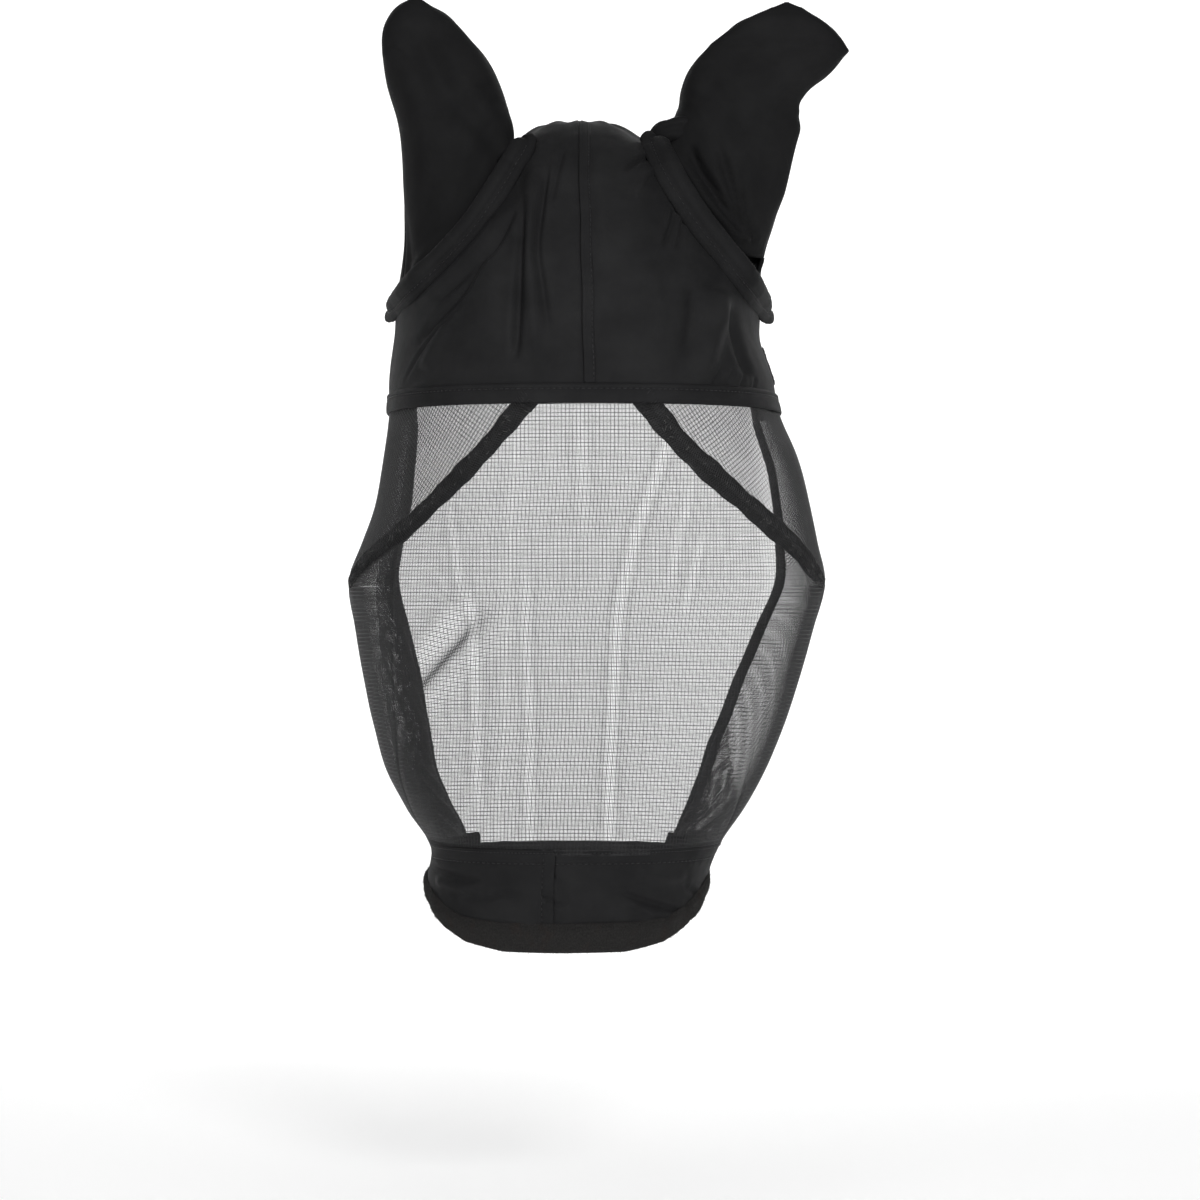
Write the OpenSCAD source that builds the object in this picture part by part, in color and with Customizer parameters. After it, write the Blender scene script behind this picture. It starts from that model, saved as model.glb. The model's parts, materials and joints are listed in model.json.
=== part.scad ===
// Horse fly mask with ear covers: stretch-fabric hood and noseband, net face,
// bound edges and two hook-and-loop straps. Millimetres, +Z up, the face looks
// along -Y. The origin is on the centre line, in the level of the lowest point
// of the nose edge.

/* [Size] */
// Widest width over the cheeks, at the dart tips
cheek_w = 275; // [255:1:295]
// Depth from the brow to the back of the throat
mask_d = 299; // [275:1:320]
// Height from the nose edge to the top of the poll
poll_h = 474; // [440:1:510]

/* [Fabric] */
// Thickness of the stretch fabric
fabric_t = 1.4; // [1:0.1:1.6]
// Thickness of the net
net_t = 0.8; // [0.6:0.1:1]
// Height of the turned hem along the brow
hem_h = 10; // [8:0.5:12]
// Width of the dart tapes
dart_w = 11; // [9:0.5:13]

/* [Edges] */
// Width of the padded rim round each ear opening
rim_w = 14; // [11:0.5:16]
// Thickness of the padded rim
rim_t = 5; // [4:0.5:6]
// Width of the binding on the rear edges of the net and the hood
bind_w = 10; // [8:0.5:12]
// Height of the soft binding in the middle of the nose edge
nose_bind_h = 16; // [14:0.5:18]

/* [Straps] */
// Width of the throat strap
throat_strap_w = 22; // [18:1:24]
// Width of the chin strap
chin_strap_w = 14; // [12:0.5:15]

/* [Hidden] */

kx = cheek_w / 275;
ky = mask_d / 299;
kz = poll_h / 474;

black = [0.05, 0.05, 0.055];
charcoal = [0.09, 0.09, 0.1];
net_grey = [0.3, 0.3, 0.32];

// ---- the body surface -------------------------------------------------
// Cross-sections of the mask. Each row is a level v up the face, then z, the
// left and right reach in x, the middle in x, the front, widest and rear y,
// and how far an inset of 1 mm moves the wall sideways and down.
BODY = [
    [-5, -5, -78, 66, -6, -79, 0, 72, 1, 0],
    [15, 15, -84, 72, -6, -83, 0, 78, 1, 0],
    [35, 35, -85, 74, -6, -86, 0, 82, 1, 0],
    [55, 55, -83, 82, -5, -89, 0, 88, 1, 0],
    [77, 77, -97, 97, -4, -94, 0, 100, 1, 0],
    [97, 97, -108, 108, -3, -98, 1, 110, 1, 0],
    [125, 125, -116, 120, -1, -103, 3, 122, 1, 0],
    [153, 153, -122, 129, 0, -107, 6, 138, 1, 0],
    [181, 181, -127, 137, 1, -111, 9, 150, 1, 0],
    [209, 209, -131, 144, 3, -113, 12, 162, 1, 0],
    [230, 230, -124, 140, 3, -113, 16, 168, 1, 0],
    [251, 251, -117, 136, 4, -112, 24, 174, 1, 0],
    [280, 280, -112, 129, 5, -109, 34, 180, 1, 0],
    [308, 308, -109, 118, 5, -105, 44, 185, 1, 0],
    [325, 325, -109, 115, 5, -102, 45, 186, 1, 0],
    [350, 350, -106, 107, 4, -99, 45, 183, 1, 0.1],
    [370, 369, -103, 106, 4, -96, 44, 177, 0.95, 0.3],
    [395, 390, -84, 93, 3, -90, 42, 166, 0.8, 0.6],
    [420, 410, -68, 78, 3, -81, 38, 151, 0.75, 0.65],
    [445, 431, -53, 66, 2, -68, 34, 130, 0.7, 0.7],
    [465, 445, -46, 58, 2, -56, 30, 112, 0.65, 0.75],
    [480, 455, -40, 51, 2, -45, 26, 95, 0.55, 0.85],
    [495, 464, -32, 38, 2, -31, 22, 72, 0.4, 0.9],
    [506, 470, -22, 28, 2, -18, 18, 52, 0.3, 0.95],
    [516, 473.2, -11, 18, 2, -5, 14, 34, 0.15, 1],
    [524, 474, 0, 4, 2, 6, 11, 20, 0, 1]];
// Angle from the middle of the face at which the rear edge runs, at level v
REAR = [[40, 140], [70, 140], [110, 138], [150, 134], [190, 128], [240, 121], [300, 118],
    [350, 114], [395, 113], [430, 118], [455, 126], [472, 138], [484, 154], [493, 180], [524, 180]];
// Height of the nose edge at an angle from the middle of the face
EDGE = [[0, 0], [22, 0.5], [42, 5], [55, 12], [68, 20], [80, 27], [92, 32], [110, 35], [180, 36]];

function row(T, x, i = 0) = (i >= len(T) - 2 || x < T[i + 1][0]) ? i : row(T, x, i + 1);
// Smooth curve through column c of table T
function slope(T, i, c) = i <= 0 ? (T[1][c] - T[0][c]) / (T[1][0] - T[0][0])
    : i >= len(T) - 1 ? (T[i][c] - T[i - 1][c]) / (T[i][0] - T[i - 1][0])
    : let (h0 = T[i][0] - T[i - 1][0], h1 = T[i + 1][0] - T[i][0])
      ((T[i][c] - T[i - 1][c]) / h0 * h1 + (T[i + 1][c] - T[i][c]) / h1 * h0) / (h0 + h1);
function tab(T, x0, c = 1) = let (
    x = min(max(x0, T[0][0]), T[len(T) - 1][0]), i = row(T, x), h = T[i + 1][0] - T[i][0],
    t = (x - T[i][0]) / h, t2 = t * t, t3 = t2 * t)
    (2 * t3 - 3 * t2 + 1) * T[i][c] + (t3 - 2 * t2 + t) * h * slope(T, i, c)
    + (3 * t2 - 2 * t3) * T[i + 1][c] + (t3 - t2) * h * slope(T, i + 1, c);
function lin(T, x0, c = 1) = let (
    x = min(max(x0, T[0][0]), T[len(T) - 1][0]), i = row(T, x))
    T[i][c] + (T[i + 1][c] - T[i][c]) * (x - T[i][0]) / (T[i + 1][0] - T[i][0]);
function all_tab(v) = [for (c = [1 : 9]) tab(BODY, v, c)];
// Point of the surface at angle a (0 in front, positive to the right), level
// v, moved outward by o
function on(p, a, o) = let (
    s = sin(a), c = cos(a), side = o * p[7],
    ax = s > 0 ? p[2] - p[3] + side : p[3] - p[1] + side,
    n = c > 0 ? 2.5 : 2.2,
    yy = c > 0 ? p[5] - (p[5] - p[4] + side) * pow(abs(c), 2 / n)
               : p[5] + (p[6] - p[5] + side) * pow(abs(c), 2 / n))
    [kx * (p[3] + ax * sign(s) * pow(abs(s), 2 / n)), ky * yy, kz * p[0] + o * p[8]];
function surf(a, v, o) = on(all_tab(v), a, o);
function rear(v) = lin(REAR, v);
function edge(a) = lin(EDGE, abs(a));

// ---- solids built on it ------------------------------------------------
// Closed solid between two grids of the same size, G outside and H inside,
// whose rows go up and whose columns go to the right seen from outside
module between(G, H) {
    m = len(G); n = len(G[0]); N = m * n;
    pts = concat([for (r = G) for (p = r) p], [for (r = H) for (p = r) p]);
    faces = concat(
        [for (i = [0 : m - 2]) for (j = [0 : n - 2]) for (k = [0, 1]) k == 0
            ? [i * n + j, (i + 1) * n + j, (i + 1) * n + j + 1]
            : [i * n + j, (i + 1) * n + j + 1, i * n + j + 1]],
        [for (i = [0 : m - 2]) for (j = [0 : n - 2]) for (k = [0, 1]) k == 0
            ? [N + i * n + j, N + (i + 1) * n + j + 1, N + (i + 1) * n + j]
            : [N + i * n + j, N + i * n + j + 1, N + (i + 1) * n + j + 1]],
        [for (j = [0 : n - 2]) for (k = [0, 1]) k == 0
            ? [j, j + 1, N + j + 1] : [j, N + j + 1, N + j]],
        [for (j = [0 : n - 2]) let (q = (m - 1) * n) for (k = [0, 1]) k == 0
            ? [q + j, N + q + j + 1, q + j + 1] : [q + j, N + q + j, N + q + j + 1]],
        [for (i = [0 : m - 2]) for (k = [0, 1]) k == 0
            ? [i * n, N + (i + 1) * n, (i + 1) * n] : [i * n, N + i * n, N + (i + 1) * n]],
        [for (i = [0 : m - 2]) let (q = n - 1) for (k = [0, 1]) k == 0
            ? [i * n + q, (i + 1) * n + q, N + (i + 1) * n + q]
            : [i * n + q, N + (i + 1) * n + q, N + i * n + q]]);
    polyhedron(points = pts, faces = faces);
}
// Skin over a grid of [angle, level] pairs, from offset o0 to offset o1
module skin(A, o0, o1)
    between([for (r = A) [for (q = r) surf(q[0], q[1], o1)]],
            [for (r = A) [for (q = r) surf(q[0], q[1], o0)]]);
// Grid of [angle, level] pairs between angles a0(v) and a1(v)
function grid(V, A0, A1, n) = [for (i = [0 : len(V) - 1])
    [for (j = [0 : n]) [A0[i] + (A1[i] - A0[i]) * j / n, V[i]]]];
function steps(a, b, n) = [for (i = [0 : n]) a + (b - a) * i / n];
// Degrees of turn that cover w millimetres along the surface at a, v
function deg(a, v, w) = let (d = norm(surf(a + 2, v, 0) - surf(a - 2, v, 0)) / 4) w / d;

// Ribbon along a path of [angle, level] pairs: w wide, from offset o0 to o1,
// with rounded edges when soft is true
function unit(v) = v / norm(v);
function path_at(P, u) = let (n = len(P) - 1, f = u * n, i = min(n - 1, floor(f)), t = f - i,
    a = P[max(0, i - 1)], b = P[i], c = P[i + 1], d = P[min(n, i + 2)])
    0.5 * ((2 * b) + (c - a) * t + (2 * a - 5 * b + 4 * c - d) * t * t + (3 * b - a - 3 * c + d) * t * t * t);
module ribbon(P, n, w, o0, o1, soft = false, w_end = 1) {
    C = [for (i = [0 : n]) path_at(P, i / n)];
    S = [for (q = C) surf(q[0], q[1], 0)];
    up = [for (q = C) unit(surf(q[0], q[1], 4) - surf(q[0], q[1], -4))];
    T = [for (i = [0 : n]) unit(S[min(n, i + 1)] - S[max(0, i - 1)])];
    prof = soft ? [for (k = [0 : 9]) [cos(36 * k) / 2, (1 + sin(36 * k)) / 2]]
                : [[0.5, 0], [0.5, 1], [-0.5, 1], [-0.5, 0]];
    m = len(prof);
    pts = [for (i = [0 : n]) let (s = unit(cross(T[i], up[i])), ww = w * (1 + (w_end - 1) * max(0, (i / n - 0.7) / 0.3)))
        for (q = prof) S[i] + s * q[0] * ww + up[i] * (o0 + (o1 - o0) * q[1])];
    faces = concat([[for (k = [m - 1 : -1 : 0]) k]], [[for (k = [0 : m - 1]) n * m + k]],
        [for (i = [0 : n - 1]) for (k = [0 : m - 1]) for (h = [0, 1]) let (l = (k + 1) % m) h == 0
            ? [i * m + k, (i + 1) * m + l, (i + 1) * m + k]
            : [i * m + k, i * m + l, (i + 1) * m + l]]);
    polyhedron(points = pts, faces = faces);
}

// ---- hood ----------------------------------------------------------------
hem_z = 306;
hood_z = hem_z + hem_h + 0.4;
HOODV = [hood_z, 330, 345, 360, 372, 384, 396, 410, 424, 438, 452, 465, 475, 484, 493, 501, 508, 515, 520, 523];
// Centre of each ear opening, its direction up the slope of the head and the
// direction that the ear stands in
EAR_C = [-70, 15, 408];
EAR_CR = [80, 15, 408];
module hood_half(s) {
    V = HOODV;
    B = [for (v = V) rear(v) >= 179 ? 180 : rear(v) - deg(s * rear(v), v, bind_w + 0.4)];
    A0 = [for (i = [0 : len(V) - 1]) s < 0 ? -B[i] : 0.04];
    A1 = [for (i = [0 : len(V) - 1]) s < 0 ? -0.04 : B[i]];
    c = s < 0 ? EAR_C : EAR_CR;
    difference() {
        skin(grid(V, A0, A1, 20), 0, fabric_t);
        scale([kx, ky, kz]) translate(c) rotate([0, s * 48.7, 0]) translate([0, 0, -24])
            scale([1, 49 / 57, 1]) linear_extrude(height = 74) circle(r = 57, $fn = 40);
    }
}
module hood_left() color(black) hood_half(-1);
module hood_right() color(black) hood_half(1);
module poll_seam() color(charcoal)
    ribbon([for (v = [hood_z + 1, 340, 370, 400, 430, 455, 475, 490, 500]) [deg(0, v, 4), v]], 32, 6, fabric_t + 0.3, fabric_t + 1.1);
module brow_hem() color(black) {
    V = [hem_z, hem_z + hem_h / 2, hem_z + hem_h];
    E = [for (v = V) rear(v) - deg(rear(v), v, bind_w + 0.4)];
    skin(grid(V, [for (e = E) -e], E, 48), -0.4, 2);
}
RIML = [[-45, 480], [-47, 464], [-51, 445], [-56, 420], [-62, 396], [-73, 380], [-87, 370], [-100, 364]];
RIMR = [[63, 483], [58, 466], [57, 446], [61, 420], [66, 396], [76, 380], [88, 370], [100, 364]];
module ear_rim_left() color(black) ribbon(RIML, 36, rim_w, fabric_t + 0.9, fabric_t + 0.9 + rim_t, true, 0.8);
module ear_rim_right() color(black) ribbon(RIMR, 36, rim_w, fabric_t + 0.9, fabric_t + 0.9 + rim_t, true, 0.8);

// ---- ear covers ------------------------------------------------------------
// Sections from base to tip: inner end x, z; outer end x, z; half depth; y
EARL = [[0, -46, 436, -93, 382, 28, 15], [1, -48, 468, -97, 411, 27, 15], [2, -43, 486, -101, 449, 26, 14],
    [3, -47, 501, -104, 477, 23, 12], [4, -54, 514, -110, 498, 20, 10], [5, -63, 525, -113, 517, 16, 8],
    [6, -73, 535, -112, 529, 12, 6], [7, -83, 542, -106, 539, 7, 5], [8, -91, 547, -96, 547, 2.2, 5]];
EARR = [[0, 56, 436, 101, 385, 28, 15], [1, 60, 468, 109, 408, 27, 15], [2, 61, 484, 120, 435, 25, 13],
    [3, 62, 493, 126, 461, 22, 11], [4, 65, 500, 131, 484, 18, 8], [5, 70, 508, 146, 500, 15, 4],
    [6, 78, 519, 157, 517, 12, 0], [7, 89, 527, 151, 527, 10, -3], [8, 100, 534, 142, 534, 7, -4],
    [9, 113, 540, 131, 540, 2.2, -4]];
function ear_pt(E, k, u, o, i0) = let (
    p = [for (c = [1 : 6]) tab(E, k, c)],
    a = [p[2] - p[0], 0, p[3] - p[1]] / 2, m = [(p[0] + p[2]) / 2, p[5], (p[1] + p[3]) / 2],
    la = norm(a))
    let (q = m + unit(a) * (la + o) * cos(u) + [0, -(p[4] + o) * sin(u), 0]) [kx * q[0], ky * q[1], kz * q[2]];
module ear_half(E, u0, u1) {
    last = len(E) - 1; nk = 18; nu = 14;
    K = [for (i = [0 : nk]) last * i / nk];
    G = [for (k = K) [for (j = [0 : nu]) ear_pt(E, k, u0 + (u1 - u0) * j / nu, 0, 0)]];
    H = [for (k = K) [for (j = [0 : nu]) ear_pt(E, k, u0 + (u1 - u0) * j / nu, -fabric_t, 0)]];
    between(G, H);
}
module ear_cover_front_left() color(black) ear_half(EARL, 0, 180);
module ear_cover_back_left() color(black) ear_half(EARL, 180, 360);
module ear_cover_front_right() color(black) ear_half(EARR, 180, 0);
module ear_cover_back_right() color(black) ear_half(EARR, 360, 180);

// ---- net ---------------------------------------------------------------------
net_z0 = 56.3;
net_z1 = hem_z - 0.4;
// Dart lines from the brow to the cheek
DARTL = [[-12.5, 305], [-19, 288], [-27, 271], [-37, 253], [-46, 238], [-55, 228], [-63, 219], [-76, 208]];
DARTR = [[14, 305], [20, 285], [28, 268], [37, 253], [46, 240], [56, 228], [66, 214], [76, 205]];
// Angle of the dart line at level v
function flip(P) = [for (i = [len(P) - 1 : -1 : 0]) [P[i][1], P[i][0]]];
function dart_a(s, v) = lin(flip(s < 0 ? DARTL : DARTR), v);
gap_a = 0.25;
module face_net() color(net_grey) {
    // below the dart tips the panel reaches from jaw edge to jaw edge
    V1 = [net_z0, 66, 77, 87, 97, 111, 125, 139, 153, 167, 181, 195, 204];
    E1 = [for (v = V1) rear(v) - deg(rear(v), v, bind_w + 0.4)];
    V2 = [204, 209, 216, 223, 230, 238, 246, 254, 263, 272, 282, 293, net_z1];
    union() {
        skin(grid(V1, [for (e = E1) -e], E1, 44), 0, net_t);
        skin(grid(V2, [for (v = V2) dart_a(-1, v) + gap_a], [for (v = V2) dart_a(1, v) - gap_a], 30), 0, net_t);
    }
}
module side_net(s) {
    V = [209, 216, 223, 230, 238, 246, 254, 263, 272, 282, 293, net_z1];
    E = [for (v = V) rear(v) - deg(s * rear(v), v, bind_w + 0.4)];
    D = [for (v = V) dart_a(s, v) + s * gap_a];
    skin(grid(V, [for (i = [0 : len(V) - 1]) s < 0 ? -E[i] : D[i]],
                 [for (i = [0 : len(V) - 1]) s < 0 ? D[i] : E[i]], 14), 0, net_t);
    V0 = [204.4, 209];
    E0 = [for (v = V0) rear(v) - deg(s * rear(v), v, bind_w + 0.4)];
    skin(grid(V0, [for (e = E0) s < 0 ? -e : 79], [for (e = E0) s < 0 ? -79 : e], 10), 0, net_t);
}
module side_net_left() color(net_grey) side_net(-1);
module side_net_right() color(net_grey) side_net(1);
// The tape starts just under the brow hem
function tape_path(P) = concat([[P[0][0] * 0.8 + P[1][0] * 0.2, 301.5]], [for (i = [1 : len(P) - 1]) P[i]]);
module dart_tape_left() color(black) ribbon(tape_path(DARTL), 30, dart_w, net_t + 1.6, net_t + 2.7, false, 0.4);
module dart_tape_right() color(black) ribbon(tape_path(DARTR), 30, dart_w, net_t + 1.6, net_t + 2.7, false, 0.4);
module jaw_binding(s) {
    V = [for (v = steps(net_z0, net_z1, 20)) v];
    R = [for (v = V) rear(v)];
    I = [for (v = V) rear(v) - deg(s * rear(v), v, bind_w)];
    skin(grid(V, [for (i = [0 : 20]) s < 0 ? -R[i] : I[i]], [for (i = [0 : 20]) s < 0 ? -I[i] : R[i]], 3), -0.6, net_t + 0.8);
}
module jaw_binding_left() color(black) jaw_binding(-1);
module jaw_binding_right() color(black) jaw_binding(1);
module neck_binding(s) {
    V = [hem_z, 318, 332, 350, 365, 380, 395, 410, 424, 438, 450, 460, 468, 475, 480, 484, 488, 491];
    R = [for (v = V) rear(v)];
    I = [for (v = V) rear(v) - deg(s * rear(v), v, bind_w)];
    n = len(V) - 1;
    skin(grid(V, [for (i = [0 : n]) s < 0 ? -R[i] : I[i]], [for (i = [0 : n]) s < 0 ? -I[i] : R[i]], 3), -0.6, fabric_t + 0.8);
}
module neck_binding_left() color(black) neck_binding(-1);
module neck_binding_right() color(black) neck_binding(1);

// ---- noseband -------------------------------------------------------------------
nb_top = 56;
function bind_h(a) = nose_bind_h + (9 - nose_bind_h) * min(1, max(0, (abs(a) - 20) / 75));
function lv(a, t) = [a, edge(a) + bind_h(a) * t];
function level(a, t) = let (b = edge(a) + bind_h(a) + 0.4) [a, b + (nb_top - b) * t];
module nose_half(s) {
    r = 140;
    A = s < 0 ? steps(-r, -0.04, 26) : steps(0.04, r, 26);
    skin([for (t = steps(0, 1, 5)) [for (a = A) level(a, t)]], 0, fabric_t);
}
module noseband_left() color(black) nose_half(-1);
module noseband_right() color(black) nose_half(1);
module noseband_seam() color(charcoal)
    skin([for (t = steps(0.02, 0.98, 6)) [for (a = [-2.2, -0.6, -0.05]) level(a, t)]], fabric_t + 0.3, fabric_t + 1.1);
module noseband_overlock() color(black)
    skin(grid([54, 57, 60], [-128, -128, -128], [128, 128, 128], 48), -1.8, -0.4);
module nose_edge_binding() color(charcoal) {
    A = steps(-140, 140, 56);
    T = [[0, 1.4], [0.2, 2.6], [0.5, 3.1], [0.8, 2.4], [1, 1.2]];
    between([for (t = T) [for (a = A) let (q = lv(a, t[0])) surf(q[0], q[1], t[1])]],
            [for (t = T) [for (a = A) let (q = lv(a, t[0])) surf(q[0], q[1], 0.4 - t[1] * 0.6)]]);
}

// ---- straps: each closes from the left side round the back to the right ----
module band(v0, v1, a0, a1, n, o0, o1) skin(grid([v0, (v0 + v1) / 2, v1], [a0, a0, a0], [a1, a1, a1], n), o0, o1);
ts0 = 326; ts1 = ts0 + throat_strap_w;
cs0 = 40.5; cs1 = cs0 + chin_strap_w;
// the strap runs on from angle -a through 180 to the right side
module strap(v0, v1, al, ar, n, o0, o1) {
    A = steps(ar, 360 - al, n);
    skin([for (v = [v0, (v0 + v1) / 2, v1]) [for (a = A) [a > 180 ? a - 360 : a, v]]], o0, o1);
}
module throat_strap() color(black) strap(ts0, ts1, 112, 96, 42, fabric_t + 3.2, fabric_t + 4.6);
module throat_strap_hook_pad() color(charcoal) band(ts0 + 1.5, ts1 - 1.5, 97.5, 108, 6, fabric_t + 1.9, fabric_t + 2.8);
module throat_loop_patch() color(charcoal) band(ts0 - 0.5, ts1 + 0.5, 94, 109.5, 8, fabric_t + 0.4, fabric_t + 1.4);
module chin_strap() color(black) strap(cs0, cs1, 136, 111, 32, 6.6, 8);
module chin_strap_hook_pad() color(charcoal) band(cs0 + 1, cs1 - 1, 112.5, 130, 8, 5.2, 6.2);
module chin_loop_patch() color(charcoal) band(cs0 - 0.5, cs1 + 0.5, 109, 132, 10, 3.6, 4.7);

hood_left();
hood_right();
poll_seam();
brow_hem();
ear_rim_left();
ear_rim_right();
ear_cover_front_left();
ear_cover_back_left();
ear_cover_front_right();
ear_cover_back_right();
face_net();
side_net_left();
side_net_right();
dart_tape_left();
dart_tape_right();
noseband_left();
noseband_right();
noseband_seam();
noseband_overlock();
nose_edge_binding();
jaw_binding_left();
jaw_binding_right();
neck_binding_left();
neck_binding_right();
throat_strap();
throat_strap_hook_pad();
throat_loop_patch();
chin_strap();
chin_strap_hook_pad();
chin_loop_patch();
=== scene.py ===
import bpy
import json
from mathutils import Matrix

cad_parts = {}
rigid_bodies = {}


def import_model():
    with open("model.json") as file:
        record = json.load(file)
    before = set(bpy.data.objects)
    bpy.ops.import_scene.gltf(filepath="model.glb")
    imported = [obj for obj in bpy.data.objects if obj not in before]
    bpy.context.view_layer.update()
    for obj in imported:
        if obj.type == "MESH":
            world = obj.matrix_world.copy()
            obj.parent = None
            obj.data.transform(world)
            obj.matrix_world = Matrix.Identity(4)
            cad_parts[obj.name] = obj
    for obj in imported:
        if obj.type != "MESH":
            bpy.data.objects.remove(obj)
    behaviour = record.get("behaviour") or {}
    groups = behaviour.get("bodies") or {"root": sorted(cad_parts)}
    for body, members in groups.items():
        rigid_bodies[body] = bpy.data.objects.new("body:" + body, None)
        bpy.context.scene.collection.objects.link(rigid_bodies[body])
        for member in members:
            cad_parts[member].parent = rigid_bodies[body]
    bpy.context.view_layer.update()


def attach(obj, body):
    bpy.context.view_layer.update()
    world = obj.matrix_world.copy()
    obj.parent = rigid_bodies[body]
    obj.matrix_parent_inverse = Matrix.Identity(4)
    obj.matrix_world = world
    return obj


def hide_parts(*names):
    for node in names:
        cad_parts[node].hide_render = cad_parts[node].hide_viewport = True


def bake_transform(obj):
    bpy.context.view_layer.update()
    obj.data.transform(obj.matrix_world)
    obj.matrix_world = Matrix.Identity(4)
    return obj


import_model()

import json
import math
import bpy
import numpy as np
from mathutils import Vector

rng = np.random.default_rng(7)
scene = bpy.context.scene
BARE = [o for o in scene.objects]

# ------------------------------------------------------------------ the body surface, as in the CAD model (mm)
BODY = np.array([
    [-5, -5, -78, 66, -6, -79, 0, 72, 1, 0],
    [15, 15, -84, 72, -6, -83, 0, 78, 1, 0],
    [35, 35, -85, 74, -6, -86, 0, 82, 1, 0],
    [55, 55, -83, 82, -5, -89, 0, 88, 1, 0],
    [77, 77, -97, 97, -4, -94, 0, 100, 1, 0],
    [97, 97, -108, 108, -3, -98, 1, 110, 1, 0],
    [125, 125, -116, 120, -1, -103, 3, 122, 1, 0],
    [153, 153, -122, 129, 0, -107, 6, 138, 1, 0],
    [181, 181, -127, 137, 1, -111, 9, 150, 1, 0],
    [209, 209, -131, 144, 3, -113, 12, 162, 1, 0],
    [230, 230, -124, 140, 3, -113, 16, 168, 1, 0],
    [251, 251, -117, 136, 4, -112, 24, 174, 1, 0],
    [280, 280, -112, 129, 5, -109, 34, 180, 1, 0],
    [308, 308, -109, 118, 5, -105, 44, 185, 1, 0],
    [325, 325, -109, 115, 5, -102, 45, 186, 1, 0],
    [350, 350, -106, 107, 4, -99, 45, 183, 1, 0.1],
    [370, 369, -103, 106, 4, -96, 44, 177, 0.95, 0.3],
    [395, 390, -84, 93, 3, -90, 42, 166, 0.8, 0.6],
    [420, 410, -68, 78, 3, -81, 38, 151, 0.75, 0.65],
    [445, 431, -53, 66, 2, -68, 34, 130, 0.7, 0.7],
    [465, 445, -46, 58, 2, -56, 30, 112, 0.65, 0.75],
    [480, 455, -40, 51, 2, -45, 26, 95, 0.55, 0.85],
    [495, 464, -32, 38, 2, -31, 22, 72, 0.4, 0.9],
    [506, 470, -22, 28, 2, -18, 18, 52, 0.3, 0.95],
    [516, 473.2, -11, 18, 2, -5, 14, 34, 0.15, 1],
    [524, 474, 0, 4, 2, 6, 11, 20, 0, 1]], float)
REAR = np.array([[40, 140], [70, 140], [110, 138], [150, 134], [190, 128], [240, 121], [300, 118],
                 [350, 114], [395, 113], [430, 118], [455, 126], [472, 138], [484, 154], [493, 180], [524, 180]], float)
EDGE = np.array([[0, 0], [22, 0.5], [42, 5], [55, 12], [68, 20], [80, 27], [92, 32], [110, 35], [180, 36]], float)
RIML = [[-45, 480], [-47, 464], [-51, 445], [-56, 420], [-62, 396], [-73, 380], [-87, 370], [-100, 364]]
RIMR = [[63, 483], [58, 466], [57, 446], [61, 420], [66, 396], [76, 380], [88, 370], [100, 364]]
DARTL = np.array([[-12.5, 305], [-19, 288], [-27, 271], [-37, 253], [-46, 238], [-55, 228], [-63, 219], [-76, 208]], float)
DARTR = np.array([[14, 305], [20, 285], [28, 268], [37, 253], [46, 240], [56, 228], [66, 214], [76, 205]], float)
HEM_Z, HEM_H = 306.0, 10.0


def curve(T, x, c=1):
    """Smooth curve through column c of table T."""
    T = np.asarray(T, float)
    xs, v = T[:, 0], T[:, c]
    x = np.clip(np.asarray(x, float), xs[0], xs[-1])
    h = np.diff(xs)
    d = np.diff(v) / h
    m = np.empty_like(v)
    m[0], m[-1] = d[0], d[-1]
    m[1:-1] = (d[:-1] * h[1:] + d[1:] * h[:-1]) / (h[1:] + h[:-1])
    i = np.clip(np.searchsorted(xs, x, side="right") - 1, 0, len(xs) - 2)
    hh = h[i]
    t = (x - xs[i]) / hh
    t2, t3 = t * t, t * t * t
    return ((2 * t3 - 3 * t2 + 1) * v[i] + (t3 - 2 * t2 + t) * hh * m[i]
            + (3 * t2 - 2 * t3) * v[i + 1] + (t3 - t2) * hh * m[i + 1])


def surf(a, v, o=0.0):
    """Point of the body surface at angle a (degrees), level v, moved out by o mm."""
    a, v, o = np.broadcast_arrays(np.asarray(a, float), np.asarray(v, float), np.asarray(o, float))
    p = [curve(BODY, v, c) for c in range(1, 10)]
    s, c = np.sin(np.radians(a)), np.cos(np.radians(a))
    side = o * p[7]
    ax = np.where(s > 0, p[2] - p[3], p[3] - p[1]) + side
    n = np.where(c > 0, 2.5, 2.2)
    y = np.where(c > 0, p[5] - (p[5] - p[4] + side) * np.abs(c) ** (2 / n), p[5] + (p[6] - p[5] + side) * np.abs(c) ** (2 / n))
    return np.stack([p[3] + ax * np.sign(s) * np.abs(s) ** (2 / n), y, p[0] + o * p[8]], -1)


def rear(v):
    return np.interp(v, REAR[:, 0], REAR[:, 1])


def net_rear(v, side):
    """Rear edge of the net and its binding: drawn forward a little near the noseband, more on the left."""
    left = np.interp(v, [56, 90, 125, 165, 205], [8.5, 8.0, 5.0, 2.0, 0])
    right = np.interp(v, [56, 80, 112], [3.5, 2.0, 0])
    return rear(v) - np.where(np.asarray(side) < 0, left, right)


def edge(a):
    return np.interp(np.abs(a), EDGE[:, 0], EDGE[:, 1])


def bind_h(a):
    return 16 + (9 - 16) * np.clip((np.abs(a) - 20) / 75, 0, 1)


def smooth(x, a, b):
    t = np.clip((np.asarray(x, float) - a) / (b - a), 0, 1)
    return t * t * (3 - 2 * t)


def bump(x, c, w):
    return np.exp(-((np.asarray(x, float) - c) / w) ** 2)


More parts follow.
